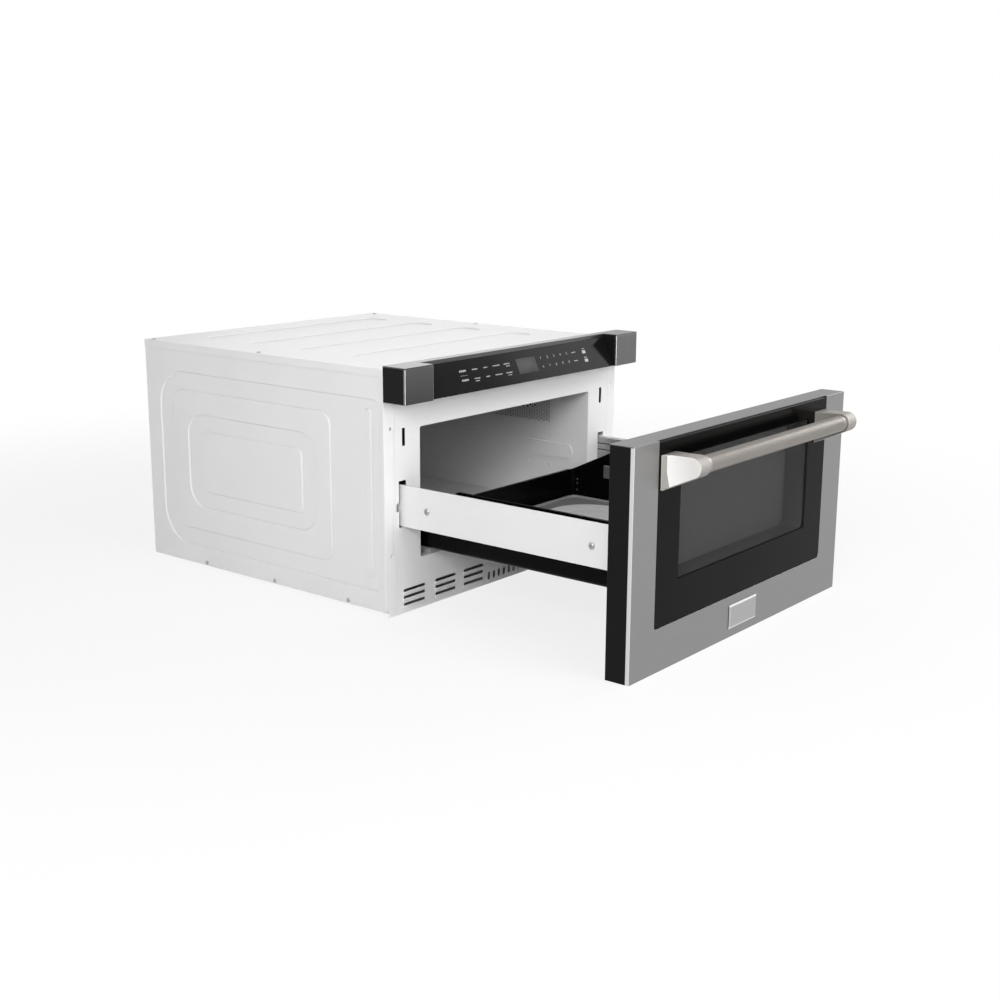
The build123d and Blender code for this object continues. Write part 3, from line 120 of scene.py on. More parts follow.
class Finish(Nodes):
    """The surface of one material."""

    def __init__(self, name, shader):
        self.material = bpy.data.materials.new(name)
        self.material.use_nodes = True
        super().__init__(self.material.node_tree)
        self.shader = self.tree.nodes["Principled BSDF"]
        for socket, value in shader.items():
            self.feed(socket, value)

    def feed(self, socket, value):
        self.join(value, self.shader.inputs[socket])

    def place(self, stretch=(1, 1, 1)):
        """Where a point lies on its piece, in metres, stretched along the axes."""
        spot = self.node("TexCoord", {}, {}, "Object")
        return self.node("Mapping", {}, {"Vector": spot, "Scale": stretch})

    def axes(self):
        """The width, depth and height of a point on its piece, as three values."""
        split = self.node("SeparateXYZ", {}, {"Vector": self.place()})
        return [Flow(self, output) for output in split.socket.node.outputs]

    def grain(self, stretch, detail=2.0, rough=0.5):
        """Noise from 0 to 1, with so many grains to a metre along each axis."""
        sockets = {"Vector": self.place(stretch), "Scale": 1.0, "Detail": detail}
        return self.node("TexNoise", {}, {**sockets, "Roughness": rough})

    def mix(self, first, second, amount):
        return self.node("Mix", {"data_type": "RGBA"}, {0: amount, 6: first, 7: second}, 2)

    def bump(self, height, reach):
        """Raise the surface by a height from 0 to 1 times a reach in metres."""
        sockets = {"Height": height, "Distance": reach, "Strength": 1.0}
        self.feed("Normal", self.node("Bump", {}, sockets))


def tone(level, warmth=0):
    """A grey as a screen shows it, from 0 to 255, with its red raised and its blue lowered."""
    shown = (level + warmth, level, level - warmth)
    return tuple((value / 255) ** 2.2 for value in shown) + (1.0,)


def powder_coat(name, level, mottle=7, shine=0.2):
    """A satin powder coat with a faint mottle and a fine orange peel."""
    coat = Finish(name, {"Specular IOR Level": shine})
    cloud = coat.grain((9, 9, 9), 4)
    coat.feed("Base Color", coat.mix(tone(level - mottle), tone(level), cloud))
    coat.feed("Roughness", 0.38 + 0.14 * coat.grain((60, 60, 60), 3))
    coat.bump(coat.grain((900, 900, 900), 2), 0.00004)
    return coat


body_of = {}
for body, names in frame["record"]["behaviour"]["bodies"].items():
    body_of.update(dict.fromkeys(names, body))


def model(name, work, finish, like):
    """Turn a finished mesh into a piece that moves with a frame piece."""
    mesh = bpy.data.meshes.new(name)
    work.to_mesh(mesh)
    work.free()
    mesh.shade_smooth()
    mesh.materials.append(finish.material)
    piece = bpy.data.objects.new(name, mesh)
    bpy.context.scene.collection.objects.link(piece)
    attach(piece, body_of[like])
    return piece


def round_edges(piece, radius, segments=2):
    """Round every sharp edge of a piece."""
    edges = piece.modifiers.new("edges", "BEVEL")
    edges.width = radius
    edges.segments = segments
    edges.limit_method = "ANGLE"
    edges.angle_limit = radians(35)
    edges.use_clamp_overlap = False
    edges.harden_normals = True


def welded(name):
    """The mesh of a frame piece, with its corners joined and its flat faces whole."""
    source = frame["nodes"][name].data
    work = bmesh.new()
    corners = [work.verts.new(vertex.co) for vertex in source.vertices]
    for face in source.polygons:
        work.faces.new([corners[index] for index in face.vertices])
    bmesh.ops.remove_doubles(work, verts=work.verts, dist=0.00001)
    bmesh.ops.dissolve_limit(work, angle_limit=radians(0.5), verts=work.verts, edges=work.edges)
    return work


def ease(finish, radius, *names, segments=2):
    """Stand pieces with rounded edges, as bends and mouldings have, in for frame pieces."""
    for name in names:
        piece = model(name + "_dressed", welded(name), finish, name)
        round_edges(piece, radius, segments)
        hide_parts(name)


case_paint = powder_coat("case_paint", 232, shine=0.4)
ease(case_paint, 0.0006, "left_side_panel", "right_side_panel", "top_panel")

# --- Base and back --------------------------------------------------------------------------
# The base tray and the back panel are left as zinc-dipped steel, with the pale spangle
# that the zinc grows as it cools. The back has air slots and the hole of the mains lead.


def dress(finish, *names):
    """Give frame pieces a finish in place of their plain one."""
    for name in names:
        for slot in frame["nodes"][name].material_slots:
            slot.material = finish.material


def zinc(name, spangle, dark, light, shaded_groove_heights=()):
    """Zinc-dipped steel with crystals of varied tone and gloss, and painted shade lines at some
    heights.
    """
    steel = Finish(name, {"Metallic": 0.8})
    sockets = {"Vector": steel.place((spangle, spangle, spangle)), "Scale": 1.0}
    crystal = steel.node("TexVoronoi", {}, sockets, "Color")
    crystal = steel.node("SeparateColor", {}, {"Color": crystal})
    cloud = steel.grain((25, 25, 25), 3)
    shade = steel.mix(tone(dark), tone(light), 0.6 * crystal + 0.4 * cloud)
    width, depth, height = steel.axes()
    # Each line is painted shade, standing in for a crease of the rolled profile, not a cut.
    for shaded_groove in shaded_groove_heights:
        shade = steel.mix(shade, tone(dark * 0.4), abs(height - shaded_groove) < 0.0009)
    steel.feed("Base Color", shade)
    steel.feed("Roughness", 0.34 + 0.16 * crystal + 0.08 * cloud)
    steel.bump(steel.grain((300, 300, 300), 2), 0.00002)
    return steel


case_zinc = zinc("case_zinc", 110, 196, 226)
dress(case_zinc, "base_plate", "back_panel")

# --- Front frame and mounting flanges -------------------------------------------------------
# One sheet behind the door holds the cavity's mouth, the slots and the louvres. The two
# flanges beside it are screwed to the cabinet. All three have the white coat of the case.
frame_paint = powder_coat("frame_paint", 236)
dress(frame_paint, "front_frame")
ease(frame_paint, 0.0004, "left_mounting_flange", "right_mounting_flange")

# --- Case screws ----------------------------------------------------------------------------
# Small pan-head screws of zinc-plated steel hold the sides, the top and the back. Each head
# has a cross recess, and stands on the sheet.
case_head = (0.0036, 0.002)
case_shank = (0.0019, 0.007)


def solids_of(name):
    """The lowest and the highest corner of each separate solid of a frame piece."""
    work = welded(name)
    work.verts.ensure_lookup_table()
    seen = set()
    for start in work.verts:
        if start.index in seen:
            continue
        reached = [start]
        seen.add(start.index)
        for vertex in reached:
            for edge in vertex.link_edges:
                other = edge.other_vert(vertex)
                if other.index not in seen:
                    seen.add(other.index)
                    reached.append(other)
        spread = [[vertex.co[axis] for vertex in reached] for axis in range(3)]
        yield Vector(map(min, spread)), Vector(map(max, spread))
    work.free()


def turned(work, seat, outward, profile, steps=24):
    """Add a turned shape: rings of radius and height about an axis that leaves its seat."""
    lean = Vector((0, 0, 1)).rotation_difference(Vector(outward))
    place = Matrix.Translation(seat) @ lean.to_matrix().to_4x4()
    rings = []
    for radius, height in profile:
        angles = [2 * pi * step / steps for step in range(steps)]
        points = [place @ Vector((radius * cos(a), radius * sin(a), height)) for a in angles]
        rings.append([work.verts.new(point) for point in points])
    for lower, upper in zip(rings, rings[1:]):
        for step in range(steps):
            after = (step + 1) % steps
            work.faces.new((lower[step], lower[after], upper[after], upper[step]))
    work.faces.new(reversed(rings[0]))
    return place, rings[-1]


def pan_head_screw(work, seat, outward, head, shank):
    """Add a screw whose head stands on its seat, with a cross recess in the head."""
    radius, height = head
    core, length = shank
    profile = [(core * 0.3, -length), (core * 0.8, -length * 0.9)]
    for turn in range(6):
        rise = -length * (0.84 - 0.13 * turn)
        profile += [(core, rise), (core * 0.8, rise + length * 0.05)]
    profile += [(core, -length * 0.05), (core, 0), (radius * 0.96, 0), (radius, height * 0.2)]
    profile += [(radius * 0.94, height * 0.6), (radius * 0.76, height * 0.88)]
    profile += [(radius * 0.55, height)]
    place, rim = turned(work, seat, outward, profile)
    arm = radius * 0.48
    half = radius * 0.1
    corner = ((arm, -half), (arm, half), (half, half))
    cross = []
    for quarter in range(4):
        spin = Matrix.Rotation(quarter * pi / 2, 2)
        cross += [spin @ Vector(point) for point in corner]
    mouth = [work.verts.new(place @ Vector((*point, height))) for point in cross]
    pit = [work.verts.new(place @ Vector((*(point * 0.7), height * 0.55))) for point in cross]
    loops = []
    for ring in (rim, mouth):
        for index, vertex in enumerate(ring):
            after = ring[(index + 1) % len(ring)]
            loops.append(work.edges.get((vertex, after)) or work.edges.new((vertex, after)))
    bmesh.ops.triangle_fill(work, edges=loops, use_beauty=True)
    for index, vertex in enumerate(mouth):
        after = (index + 1) % len(mouth)
        work.faces.new((vertex, mouth[after], pit[after], pit[index]))
    work.faces.new(pit)


def screws(name, finish, head, shank):
    """Stand detailed screws in for the plain ones of a frame piece."""
    work = bmesh.new()
    for low, high in solids_of(name):
        size = high - low
        middle = (high + low) / 2
        along = max(range(3), key=lambda axis: abs(3 * size[axis] - sum(size)))
        outward = Vector((0, 0, 0))
        outward[along] = 1 if middle[along] > 0 else -1
        seat = middle + outward * (size[along] / 2 - head[1])
        pan_head_screw(work, seat, outward, head, shank)
    bmesh.ops.recalc_face_normals(work, faces=work.faces)
    piece = model(name + "_dressed", work, finish, name)
    piece.data.set_sharp_from_angle(angle=radians(40))
    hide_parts(name)


def plated(name, dark, light):
    """Bright plated steel with fine turning marks and dull spots."""
    steel = Finish(name, {"Metallic": 1.0})
    spots = steel.grain((700, 700, 700), 3)
    steel.feed("Base Color", steel.mix(tone(dark), tone(light), spots))
    steel.feed("Roughness", 0.24 + 0.2 * steel.grain((400, 400, 400), 2))
    steel.bump(spots, 0.00001)
    return steel


screw_steel = plated("screw_steel", 150, 184)
screws("case_screws", screw_steel, case_head, case_shank)

# --- Oven cavity ----------------------------------------------------------------------------
# Five spot-welded steel walls with a smooth grey oven paint. The right wall has the fine
# holes of the air vent, and both side walls have a long bead pressed into them.
cavity_paint = powder_coat("cavity_paint", 216)
dress(cavity_paint, "cavity_left_wall", "cavity_ceiling", "cavity_floor", "cavity_back_wall")
vent_paint = Finish("vent_paint", {"Specular IOR Level": 0.2})
width, depth, height = vent_paint.axes()
behind_face = 0.22212
vent_foot = 0.225
# The bores of the vent holes, behind the wall's face, are painted near black as shade.
shaded_bore = (abs(width) > behind_face) * (height > vent_foot)
mottle = vent_paint.grain((9, 9, 9), 4)
face_tone = vent_paint.mix(tone(215), tone(222), mottle)
vent_paint.feed("Base Color", vent_paint.mix(face_tone, tone(12), shaded_bore))
vent_paint.feed("Roughness", 0.38 + 0.14 * vent_paint.grain((60, 60, 60), 3))
vent_paint.bump(vent_paint.grain((900, 900, 900)), 0.00004)
dress(vent_paint, "cavity_right_wall")

# Each side wall has two small plugged holes and two round welds beside them.
wall_x = 0.222
plug_spots = ((-0.1615, 0.205), (-0.1615, 0.1455))
weld_spots = ((-0.208, 0.201), (-0.2085, 0.1465))
plug_profile = ((0.0019, -0.0004), (0.0019, 0.0004), (0.0013, 0.0007), (0.0004, 0.0008))
weld_ring = ((0.0042, -0.0004), (0.0042, 0.0001), (0.0036, 0.0004))
weld_profile = (*weld_ring, (0.0026, 0.0001), (0.0008, 0))
for side, hand in ((-1, "left"), (1, "right")):
    work = bmesh.new()
    for spots, profile in ((plug_spots, plug_profile), (weld_spots, weld_profile)):
        for spot in spots:
            place, rim = turned(work, (side * wall_x, *spot), (-side, 0, 0), profile)
            work.faces.new(rim)
    bmesh.ops.recalc_face_normals(work, faces=work.faces)
    model(hand + "_wall_welds", work, cavity_paint, f"cavity_{hand}_wall")

# --- Stirrer cover --------------------------------------------------------------------------
# A sheet of pale pressed mica under the stirrer lets the waves through. It is mottled
# with flakes and a little glossy.
mica = Finish("stirrer_mica", {"Specular IOR Level": 0.4})
flakes = mica.grain((260, 260, 260), 4, 0.7)
mica.feed("Base Color", mica.mix(tone(186, 14), tone(214, 10), flakes))
mica.feed("Roughness", 0.3 + 0.3 * flakes)
mica.bump(flakes, 0.00003)
ease(mica, 0.0004, "stirrer_cover")

# --- Microwave source -----------------------------------------------------------------------
# The waveguide and the stirrer's motor are zinc-dipped steel, the magnetron has aluminium
# fins, and the transformer is a lacquered stack of iron sheets with its windings.
works_steel = zinc("works_steel", 160, 166, 194)
dress(works_steel, "waveguide", "stirrer_motor")


def rubbed(name, lines, rough=0.34):
    """Metal rubbed one way, so its grain is much longer along the rub than across it."""
    metal = Finish(name, {"Metallic": 1.0})
    rub = metal.grain(lines, 3, 0.65)
    metal.feed("Roughness", rough - 0.06 + 0.12 * rub)
    metal.bump(rub, 0.000006)
    return metal, rub


def brushed(name, dark, light, lines, rough=0.34):
    """Rubbed metal whose tone follows the rub, with faint clouds."""
    metal, rub = rubbed(name, lines, rough)
    cloud = metal.grain((6, 6, 6), 2)
    metal.feed("Base Color", metal.mix(tone(dark), tone(light), 0.7 * rub + 0.3 * cloud))
    return metal


works_aluminium = brushed("works_aluminium", 200, 224, (30, 900, 900))
dress(works_aluminium, "magnetron", "hv_capacitor", "stirrer")
core_iron = Finish("core_iron", {"Metallic": 0.6})
width, depth, height = core_iron.axes()
sheets = 0.5 + 0.5 * width.math("SINE", width * 7500)
core_iron.feed("Base Color", core_iron.mix(tone(52), tone(98), sheets))
core_iron.feed("Roughness", 0.4 + 0.2 * core_iron.grain((200, 200, 200)))
core_iron.bump(sheets, 0.0001)
dress(core_iron, "power_transformer", "fan_motor")

# --- Cooling, board, switches and drive -----------------------------------------------------
# A moulded fan blows over the source through a steel shroud. The control board is green
# laminate, and the door switches are black mouldings with sprung plungers.


def moulded(name, level, rough=0.42, gloss=0.1, warmth=0, reach=0.00004):
    """Moulded plastic with a fine spark-eroded texture."""
    plastic = Finish(name, {"Specular IOR Level": gloss})
    grit = plastic.grain((1400, 1400, 1400))
    cloud = plastic.grain((12, 12, 12), 3)
    shade = 0.5 * grit + 0.5 * cloud
    plastic.feed("Base Color", plastic.mix(tone(level - 6, warmth), tone(level + 6, warmth), shade))
    plastic.feed("Roughness", rough + 0.12 * grit)
    plastic.bump(grit, reach)
    return plastic


black_moulding = moulded("black_moulding", 20)
grey_moulding = moulded("grey_moulding", 150, gloss=0.3)
white_moulding = moulded("white_moulding", 228, gloss=0.4, warmth=3)
board_laminate = Finish("board_laminate", {"Specular IOR Level": 0.4})
tracks = board_laminate.grain((160, 8, 160), 1)
board_green = board_laminate.mix((0.01, 0.08, 0.03, 1), (0.03, 0.17, 0.07, 1), tracks)
board_laminate.feed("Base Color", board_green)
board_laminate.feed("Roughness", 0.3 + 0.2 * tracks)
dress(works_steel, "fan_shroud", "drive_motor")
# The cavity lamp behind the vent is black only as painted shade, so the vent's holes read dark.
dress(black_moulding, "cavity_lamp")
dress(black_moulding, "fan_rotor", "left_plunger", "right_plunger", "interlock_switches")
dress(white_moulding, "drive_pinion", "drive_rack")
dress(grey_moulding, "tub_glides")
dress(board_laminate, "control_board")

# --- Slides and hooks -----------------------------------------------------------------------
# Each side runs on a three-part slide rolled from zinc-dipped strip, on brackets that are
# welded to the cavity. The outer parts and the brackets are painted dark as shade, where
# they lie in shadow. Two steel hooks, also painted dark as shade, hold the door shut.
# The middle and inner parts get two lines of painted shade along them.
slide_zinc = zinc("slide_zinc", 220, 150, 178, (0.1812, 0.1922))
shaded_runner_zinc = zinc("shaded_runner_zinc", 220, 56, 78)
dress(shaded_runner_zinc, "slide_brackets", "left_slide_outer", "right_slide_outer")
dress(slide_zinc, "left_slide_middle", "right_slide_middle")
dress(slide_zinc, "left_slide_inner", "right_slide_inner")
# The hooks' dark tone is painted shade.
shaded_hook_steel = brushed("shaded_hook_steel", 60, 84, (900, 40, 40))
ease(shaded_hook_steel, 0.0005, "latch_hooks")

# --- Control panel --------------------------------------------------------------------------
# A black moulded housing carries a leaning black glass between two brushed steel ends,
# under a brushed steel strip.
panel_glass = Finish("panel_glass", {"Specular IOR Level": 0.05})
haze = panel_glass.grain((14, 14, 14), 4)
panel_glass.feed("Base Color", panel_glass.mix(tone(23), tone(31), haze))
panel_glass.feed("Roughness", 0.1 + 0.08 * haze)
strip_steel = brushed("strip_steel", 84, 102, (12, 1600, 1600), 0.36)
housing_moulding = moulded("housing_moulding", 26)
ease(housing_moulding, 0.0008, "control_housing")
ease(panel_glass, 0.0004, "control_glass")

# The ends are rubbed upright. Their top face is painted darker as shade, and their front
# edges are painted bright as a highlight.
end_steel, rub = rubbed("end_steel", (1600, 12, 12), 0.38)
normal = end_steel.node("NewGeometry", {}, {}, "Normal")
normal = end_steel.node("SeparateXYZ", {}, {"Vector": normal})
sideways, backward, upward = [Flow(end_steel, output) for output in normal.socket.node.outputs]
painted_edge_highlight = (abs(sideways) > 0.2) * (backward < -0.2)
face_tone = end_steel.mix(tone(92), tone(112), rub)
face_tone = end_steel.mix(face_tone, tone(62), upward > 0.9)
end_steel.feed("Base Color", end_steel.mix(face_tone, tone(215), painted_edge_highlight))
ease(end_steel, 0.0009, "left_end_trim", "right_end_trim")
ease(strip_steel, 0.0004, "top_trim")

# The marks are printed on the glass: rows of small blocks, plain digits, two square lamp
# buttons and a grey display.
glass_foot = Vector((0, -0.3305, 0.336))
glass_rise = Vector((0, 0.022, 0.048)).normalized()
glass_out = Vector((0, -0.048, 0.022)).normalized()
print_depth = 0.0001
row_heights = (0.368, 0.3545)


def on_glass(x, z, out):
    """The point of the leaning glass at a width and a height, moved out of it."""
    climb = glass_rise * ((z - glass_foot.z) / glass_rise.z)
    return glass_foot + Vector((x, 0, 0)) + climb + glass_out * out


def printed(work, outline):
    """Add a flat print with the outline of these widths and heights."""
    under = [work.verts.new(on_glass(x, z, -print_depth)) for x, z in outline]
    above = [work.verts.new(on_glass(x, z, print_depth)) for x, z in outline]
    work.faces.new(above)
    work.faces.new(reversed(under))
    for index, vertex in enumerate(under):
        after = (index + 1) % len(under)
        work.faces.new((vertex, under[after], above[after], above[index]))


def blocks(work, x, z, length, height, count):
    """Print a row of small blocks."""
    pitch = length / count
    for place in range(count):
        left = x - length / 2 + pitch * (place + 0.14)
        right = left + pitch * 0.72
        low, high = z - height / 2, z + height / 2
        printed(work, [(left, high), (right, high), (right, low), (left, low)])


def figure(work, x, z, sign, size):
    """Print a plain digit."""
    text = bpy.data.curves.new("figure", "FONT")
    text.body = sign
    text.size = size
    text.extrude = print_depth
    text.align_x = "CENTER"
    text.align_y = "CENTER"
    shape = bpy.data.objects.new("figure", text)
    mesh = bpy.data.meshes.new_from_object(shape)
    axes = Matrix(((1, 0, 0), glass_rise, glass_out)).transposed().to_4x4()
    mesh.transform(Matrix.Translation(on_glass(x, z, 0)) @ axes)
    work.from_mesh(mesh)
    bpy.data.meshes.remove(mesh)
    bpy.data.objects.remove(shape)
    bpy.data.curves.remove(text)


white_print = Finish("white_print", {"Specular IOR Level": 0.2})
ink = white_print.grain((2500, 2500, 2500))
white_print.feed("Base Color", white_print.mix(tone(158), tone(188), ink))
white_print.feed("Roughness", 0.4 + 0.2 * ink)
work = bmesh.new()
for z, count in zip(row_heights, (4, 5)):
    blocks(work, -0.1495, z, 0.0165, 0.0026, count)
    for x, length in ((-0.1205, 0.0135), (-0.094, 0.0095), (-0.067, 0.0175), (-0.0405, 0.0155)):
        blocks(work, x, z, length, 0.0014, round(length / 0.0022))
    blocks(work, 0.141, z, 0.011, 0.0014, 5)
for x, z in ((-0.1215, 0.3509), (-0.0405, 0.3509), (-0.0385, 0.3646)):
    blocks(work, x, z, 0.0100, 0.0012, 5)
printed(work, [(-0.158, 0.36145), (-0.141, 0.36145), (-0.141, 0.36115), (-0.158, 0.36115)])
for z in (0.3661, 0.3524):
    low, high = z - 0.0024, z + 0.0024
    printed(work, [(0.1655, high), (0.1745, high), (0.1745, low), (0.1655, low)])
    blocks(work, 0.170, z + 0.0050, 0.008, 0.0012, 4)
for z, row in zip(row_heights, ("12345", "67890")):
    for column, sign in enumerate(row):
        figure(work, 0.0495 + 0.018 * column, z, sign, 0.0062)
bmesh.ops.remove_doubles(work, verts=work.verts, dist=0.000001)
marks = model("panel_marks", work, white_print, "control_glass")
marks.data.set_sharp_from_angle(angle=radians(30))

display = Finish("display_window", {"Specular IOR Level": 0.02})
width, depth, height = display.axes()
lines = 0.5 + 0.5 * height.math("SINE", height * 9000)
cloud = display.grain((40, 40, 40))
display.feed("Base Color", display.mix(tone(78), tone(92), 0.5 * lines + 0.5 * cloud))
display.feed("Roughness", 0.4 + 0.1 * lines)
work = bmesh.new()
printed(work, [(-0.0155, 0.349), (0.0345, 0.349), (0.0345, 0.3725), (-0.0155, 0.3725)])
model("panel_display", work, display, "control_glass")

# --- Drawer sides ---------------------------------------------------------------------------
# Two white coated steel rails carry the tub. Each is screwed to the inner member of its slide.
rail_paint = powder_coat("rail_paint", 228, 4)
ease(rail_paint, 0.0006, "left_side_rail", "right_side_rail")
rail_screw_steel = plated("rail_screw_steel", 158, 188)
screws("rail_screws", rail_screw_steel, (0.0052, 0.0024), (0.0022, 0.003))

# --- Tub ------------------------------------------------------------------------------------
# The tub is pressed steel with black vitreous enamel, which is glossy, with fine pits and
# a few pale specks. Rivets in its rear corner hold the rail's lug.
enamel = Finish("tub_enamel", {"Specular IOR Level": 0.05})
specks = enamel.grain((1100, 1100, 1100), 1) > 0.735
enamel.feed("Base Color", enamel.mix(tone(14), tone(48), specks))
enamel.feed("Roughness", 0.18 + 0.1 * enamel.grain((40, 40, 40), 3))
enamel.bump(enamel.grain((220, 220, 220), 3), 0.00004)
ease(enamel, 0.0004, "tub")
rivet_steel = plated("rivet_steel", 62, 84)
rivet_profile = ((0.0024, -0.0004), (0.0024, 0.0006), (0.0019, 0.0011), (0.0009, 0.0014))
work = bmesh.new()
for side in (-1, 1):
    for spot in ((-0.277, 0.1305), (-0.277, 0.123), (-0.277, 0.111)):
        place, rim = turned(work, (side * 0.2125, *spot), (-side, 0, 0), rivet_profile, 16)
        work.faces.new(rim)
bmesh.ops.recalc_face_normals(work, faces=work.faces)
model("tub_rivets", work, rivet_steel, "tub")

# --- Tray -----------------------------------------------------------------------------------
# The tray is thick pressed glass with a low rim. Its middle is a pale frosted field with
# round corners, edged by four fine ridges.
tray_glass = Finish("tray_glass", {"Transmission Weight": 0.1, "IOR": 1.5})
width, depth, height = tray_glass.axes()
across = width.math("MAXIMUM", abs(width) - 0.105, 0)
along = depth.math("MAXIMUM", abs(depth + 0.4875) - 0.107, 0)
reach = across.math("SQRT", across * across + along * along) - 0.075
field = reach < 0
edge = reach > -0.036
# The ridges are raised by a bump, and also painted in light and dark bands as highlights.
ridges_and_highlights = edge * (0.5 + 0.5 * reach.math("SINE", reach * 700)) + 0.3 * (1 - edge)
swirl = tray_glass.grain((20, 20, 20), 3)
frosted = tray_glass.mix(tone(204), tone(246), ridges_and_highlights)
border = tray_glass.mix(tone(136), tone(152), swirl)
tray_glass.feed("Base Color", tray_glass.mix(border, frosted, field))
tray_glass.feed("Roughness", 0.12 + 0.3 * field)
tray_glass.bump(ridges_and_highlights * field, 0.0002)
ease(tray_glass, 0.0006, "glass_tray")

# --- Door -----------------------------------------------------------------------------------
# A black moulded frame carries a folded skin of brushed stainless steel and a pane with a
# black printed border. Behind its clear window is the pierced screen of the steel back.
inner_enamel = powder_coat("inner_enamel", 96, 6)
ease(black_moulding, 0.0006, "door_frame")
ease(inner_enamel, 0.0002, "door_inner_panel")

skin_steel = Finish("skin_steel", {"Metallic": 1.0})
rub = skin_steel.grain((14, 1600, 1600), 3, 0.65)
width, depth, height = skin_steel.axes()
skin_fold = 0.30215
# The folded edges are painted bright as a highlight.
painted_fold_highlight = abs(width) > skin_fold
brushed_tone = skin_steel.mix(tone(126), tone(147), rub)
skin_steel.feed("Base Color", skin_steel.mix(brushed_tone, tone(212), painted_fold_highlight))
skin_steel.feed("Roughness", 0.32 + 0.1 * rub)
skin_steel.bump(rub, 0.000006)
ease(skin_steel, 0.0005, "door_skin")

# The badge plate is a bare steel block below the window, with sloping edges painted bright as
# a highlight and a painted shadow around its foot.
low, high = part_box("badge_plate")
badge_steel = Finish("badge_steel", {"Metallic": 1.0})
rub = badge_steel.grain((14, 1600, 1600), 3, 0.65)
width, depth, height = badge_steel.axes()
badge_lip = 0.0008
painted_shadow_gap = depth > high.y - badge_lip * 0.75
painted_slope_highlight = abs(abs(width) - 0.0386) < 0.0014
painted_slope_highlight = painted_slope_highlight.math("MAXIMUM", abs(abs(height - (low.z + high.z) / 2) - 0.01685) < 0.0014)
plate_tone = badge_steel.mix(badge_steel.mix(tone(88), tone(104), rub), tone(215), painted_slope_highlight)
badge_steel.feed("Base Color", badge_steel.mix(plate_tone, tone(40), painted_shadow_gap))
badge_steel.feed("Roughness", 0.32 + 0.1 * rub)
badge_slope = 0.0028
work = bmesh.new()
rings = []
for inset, y in ((0, high.y), (0, high.y - badge_lip), (badge_slope, low.y)):
    left, right = low.x + inset, high.x - inset
    under, over = low.z + inset, high.z - inset
    corners = ((left, under), (right, under), (right, over), (left, over))
    rings.append([work.verts.new((x, y, z)) for x, z in corners])
for ring, beside in zip(rings, rings[1:]):
    for index, vertex in enumerate(ring):
        after = (index + 1) % len(ring)
        work.faces.new((vertex, ring[after], beside[after], beside[index]))
work.faces.new(rings[0])
work.faces.new(rings[-1])
bmesh.ops.recalc_face_normals(work, faces=work.faces)
badge = model("badge_plate_dressed", work, badge_steel, "badge_plate")
round_edges(badge, 0.0002)
badge.data.set_sharp_from_angle(angle=radians(15))
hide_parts("badge_plate")

# The top cap is a plain brushed strip that closes the door frame.
cap_steel = brushed("cap_steel", 98, 116, (12, 1600, 1600), 0.36)
ease(cap_steel, 0.0003, "door_top_cap")

# The pane is black but for its clear window.
window_half = 0.186
window_low = 0.1225
window_high = 0.297
door_pane = Finish("door_pane", {"Specular IOR Level": 0.05})
width, depth, height = door_pane.axes()
window = (abs(width) < window_half) * (height > window_low) * (height < window_high)
haze = door_pane.grain((12, 12, 12), 3)
door_pane.feed("Base Color", door_pane.mix(tone(12), tone(18), haze))
door_pane.feed("Roughness", 0.05 + 0.05 * haze)
door_pane.feed("Alpha", 1 - 0.62 * window)
ease(door_pane, 0.0005, "door_glass")

# The screen is steel under a coat of dark grey, with fine round holes in rows painted on as
# dark dots of shade.
screen_coat = Finish("screen_coat", {"Specular IOR Level": 0.2})
width, depth, height = screen_coat.axes()
across = width.math("SINE", width * 2400)
along = height.math("SINE", height * 2400)
painted_hole_shade = (across * along) > 0.1
screen_coat.feed("Base Color", screen_coat.mix(tone(186), tone(64), painted_hole_shade))
screen_coat.feed("Roughness", 0.5 + 0.1 * screen_coat.grain((300, 300, 300)))
tunnel_coat = powder_coat("tunnel_coat", 136, 6)
pane_back = -0.7333
panel_front = -0.6988


def window_ring(grow, steps=6, radius=0.012):
    """The rounded outline of the window, grown by a distance."""
    corners = ((1, window_high, 0), (-1, window_high, 1), (-1, window_low, 2), (1, window_low, 3))
    points = []
    for side, edge, quarter in corners:
        inward = -1 if edge == window_high else 1
        centre = (side * (window_half - radius), edge + inward * radius)
        for step in range(steps + 1):
            angle = pi / 2 * (quarter + step / steps)
            reach = radius + grow
            points.append((centre[0] + reach * cos(angle), centre[1] + reach * sin(angle)))
    return points


work = bmesh.new()
rings = []
for grow, y in ((0, pane_back), (0, panel_front), (0.0015, panel_front), (0.0015, pane_back)):
    rings.append([work.verts.new((x, y, z)) for x, z in window_ring(grow)])
for ring, beside in zip(rings, rings[1:] + rings[:1]):
    for index, vertex in enumerate(ring):
        after = (index + 1) % len(ring)
        work.faces.new((vertex, ring[after], beside[after], beside[index]))
bmesh.ops.recalc_face_normals(work, faces=work.faces)
tunnel = model("window_tunnel", work, tunnel_coat, "door_frame")
tunnel.data.set_sharp_from_angle(angle=radians(40))
work = bmesh.new()
front = [work.verts.new((x, panel_front - 0.0006, z)) for x, z in window_ring(-0.0002)]
back = [work.verts.new((x, panel_front, z)) for x, z in window_ring(-0.0002)]
work.faces.new(front)
work.faces.new(reversed(back))
for index, vertex in enumerate(front):
    after = (index + 1) % len(front)
    work.faces.new((vertex, back[index], back[after], front[after]))
bmesh.ops.recalc_face_normals(work, faces=work.faces)
screen = model("window_screen", work, screen_coat, "door_inner_panel")
screen.data.set_sharp_from_angle(angle=radians(40))

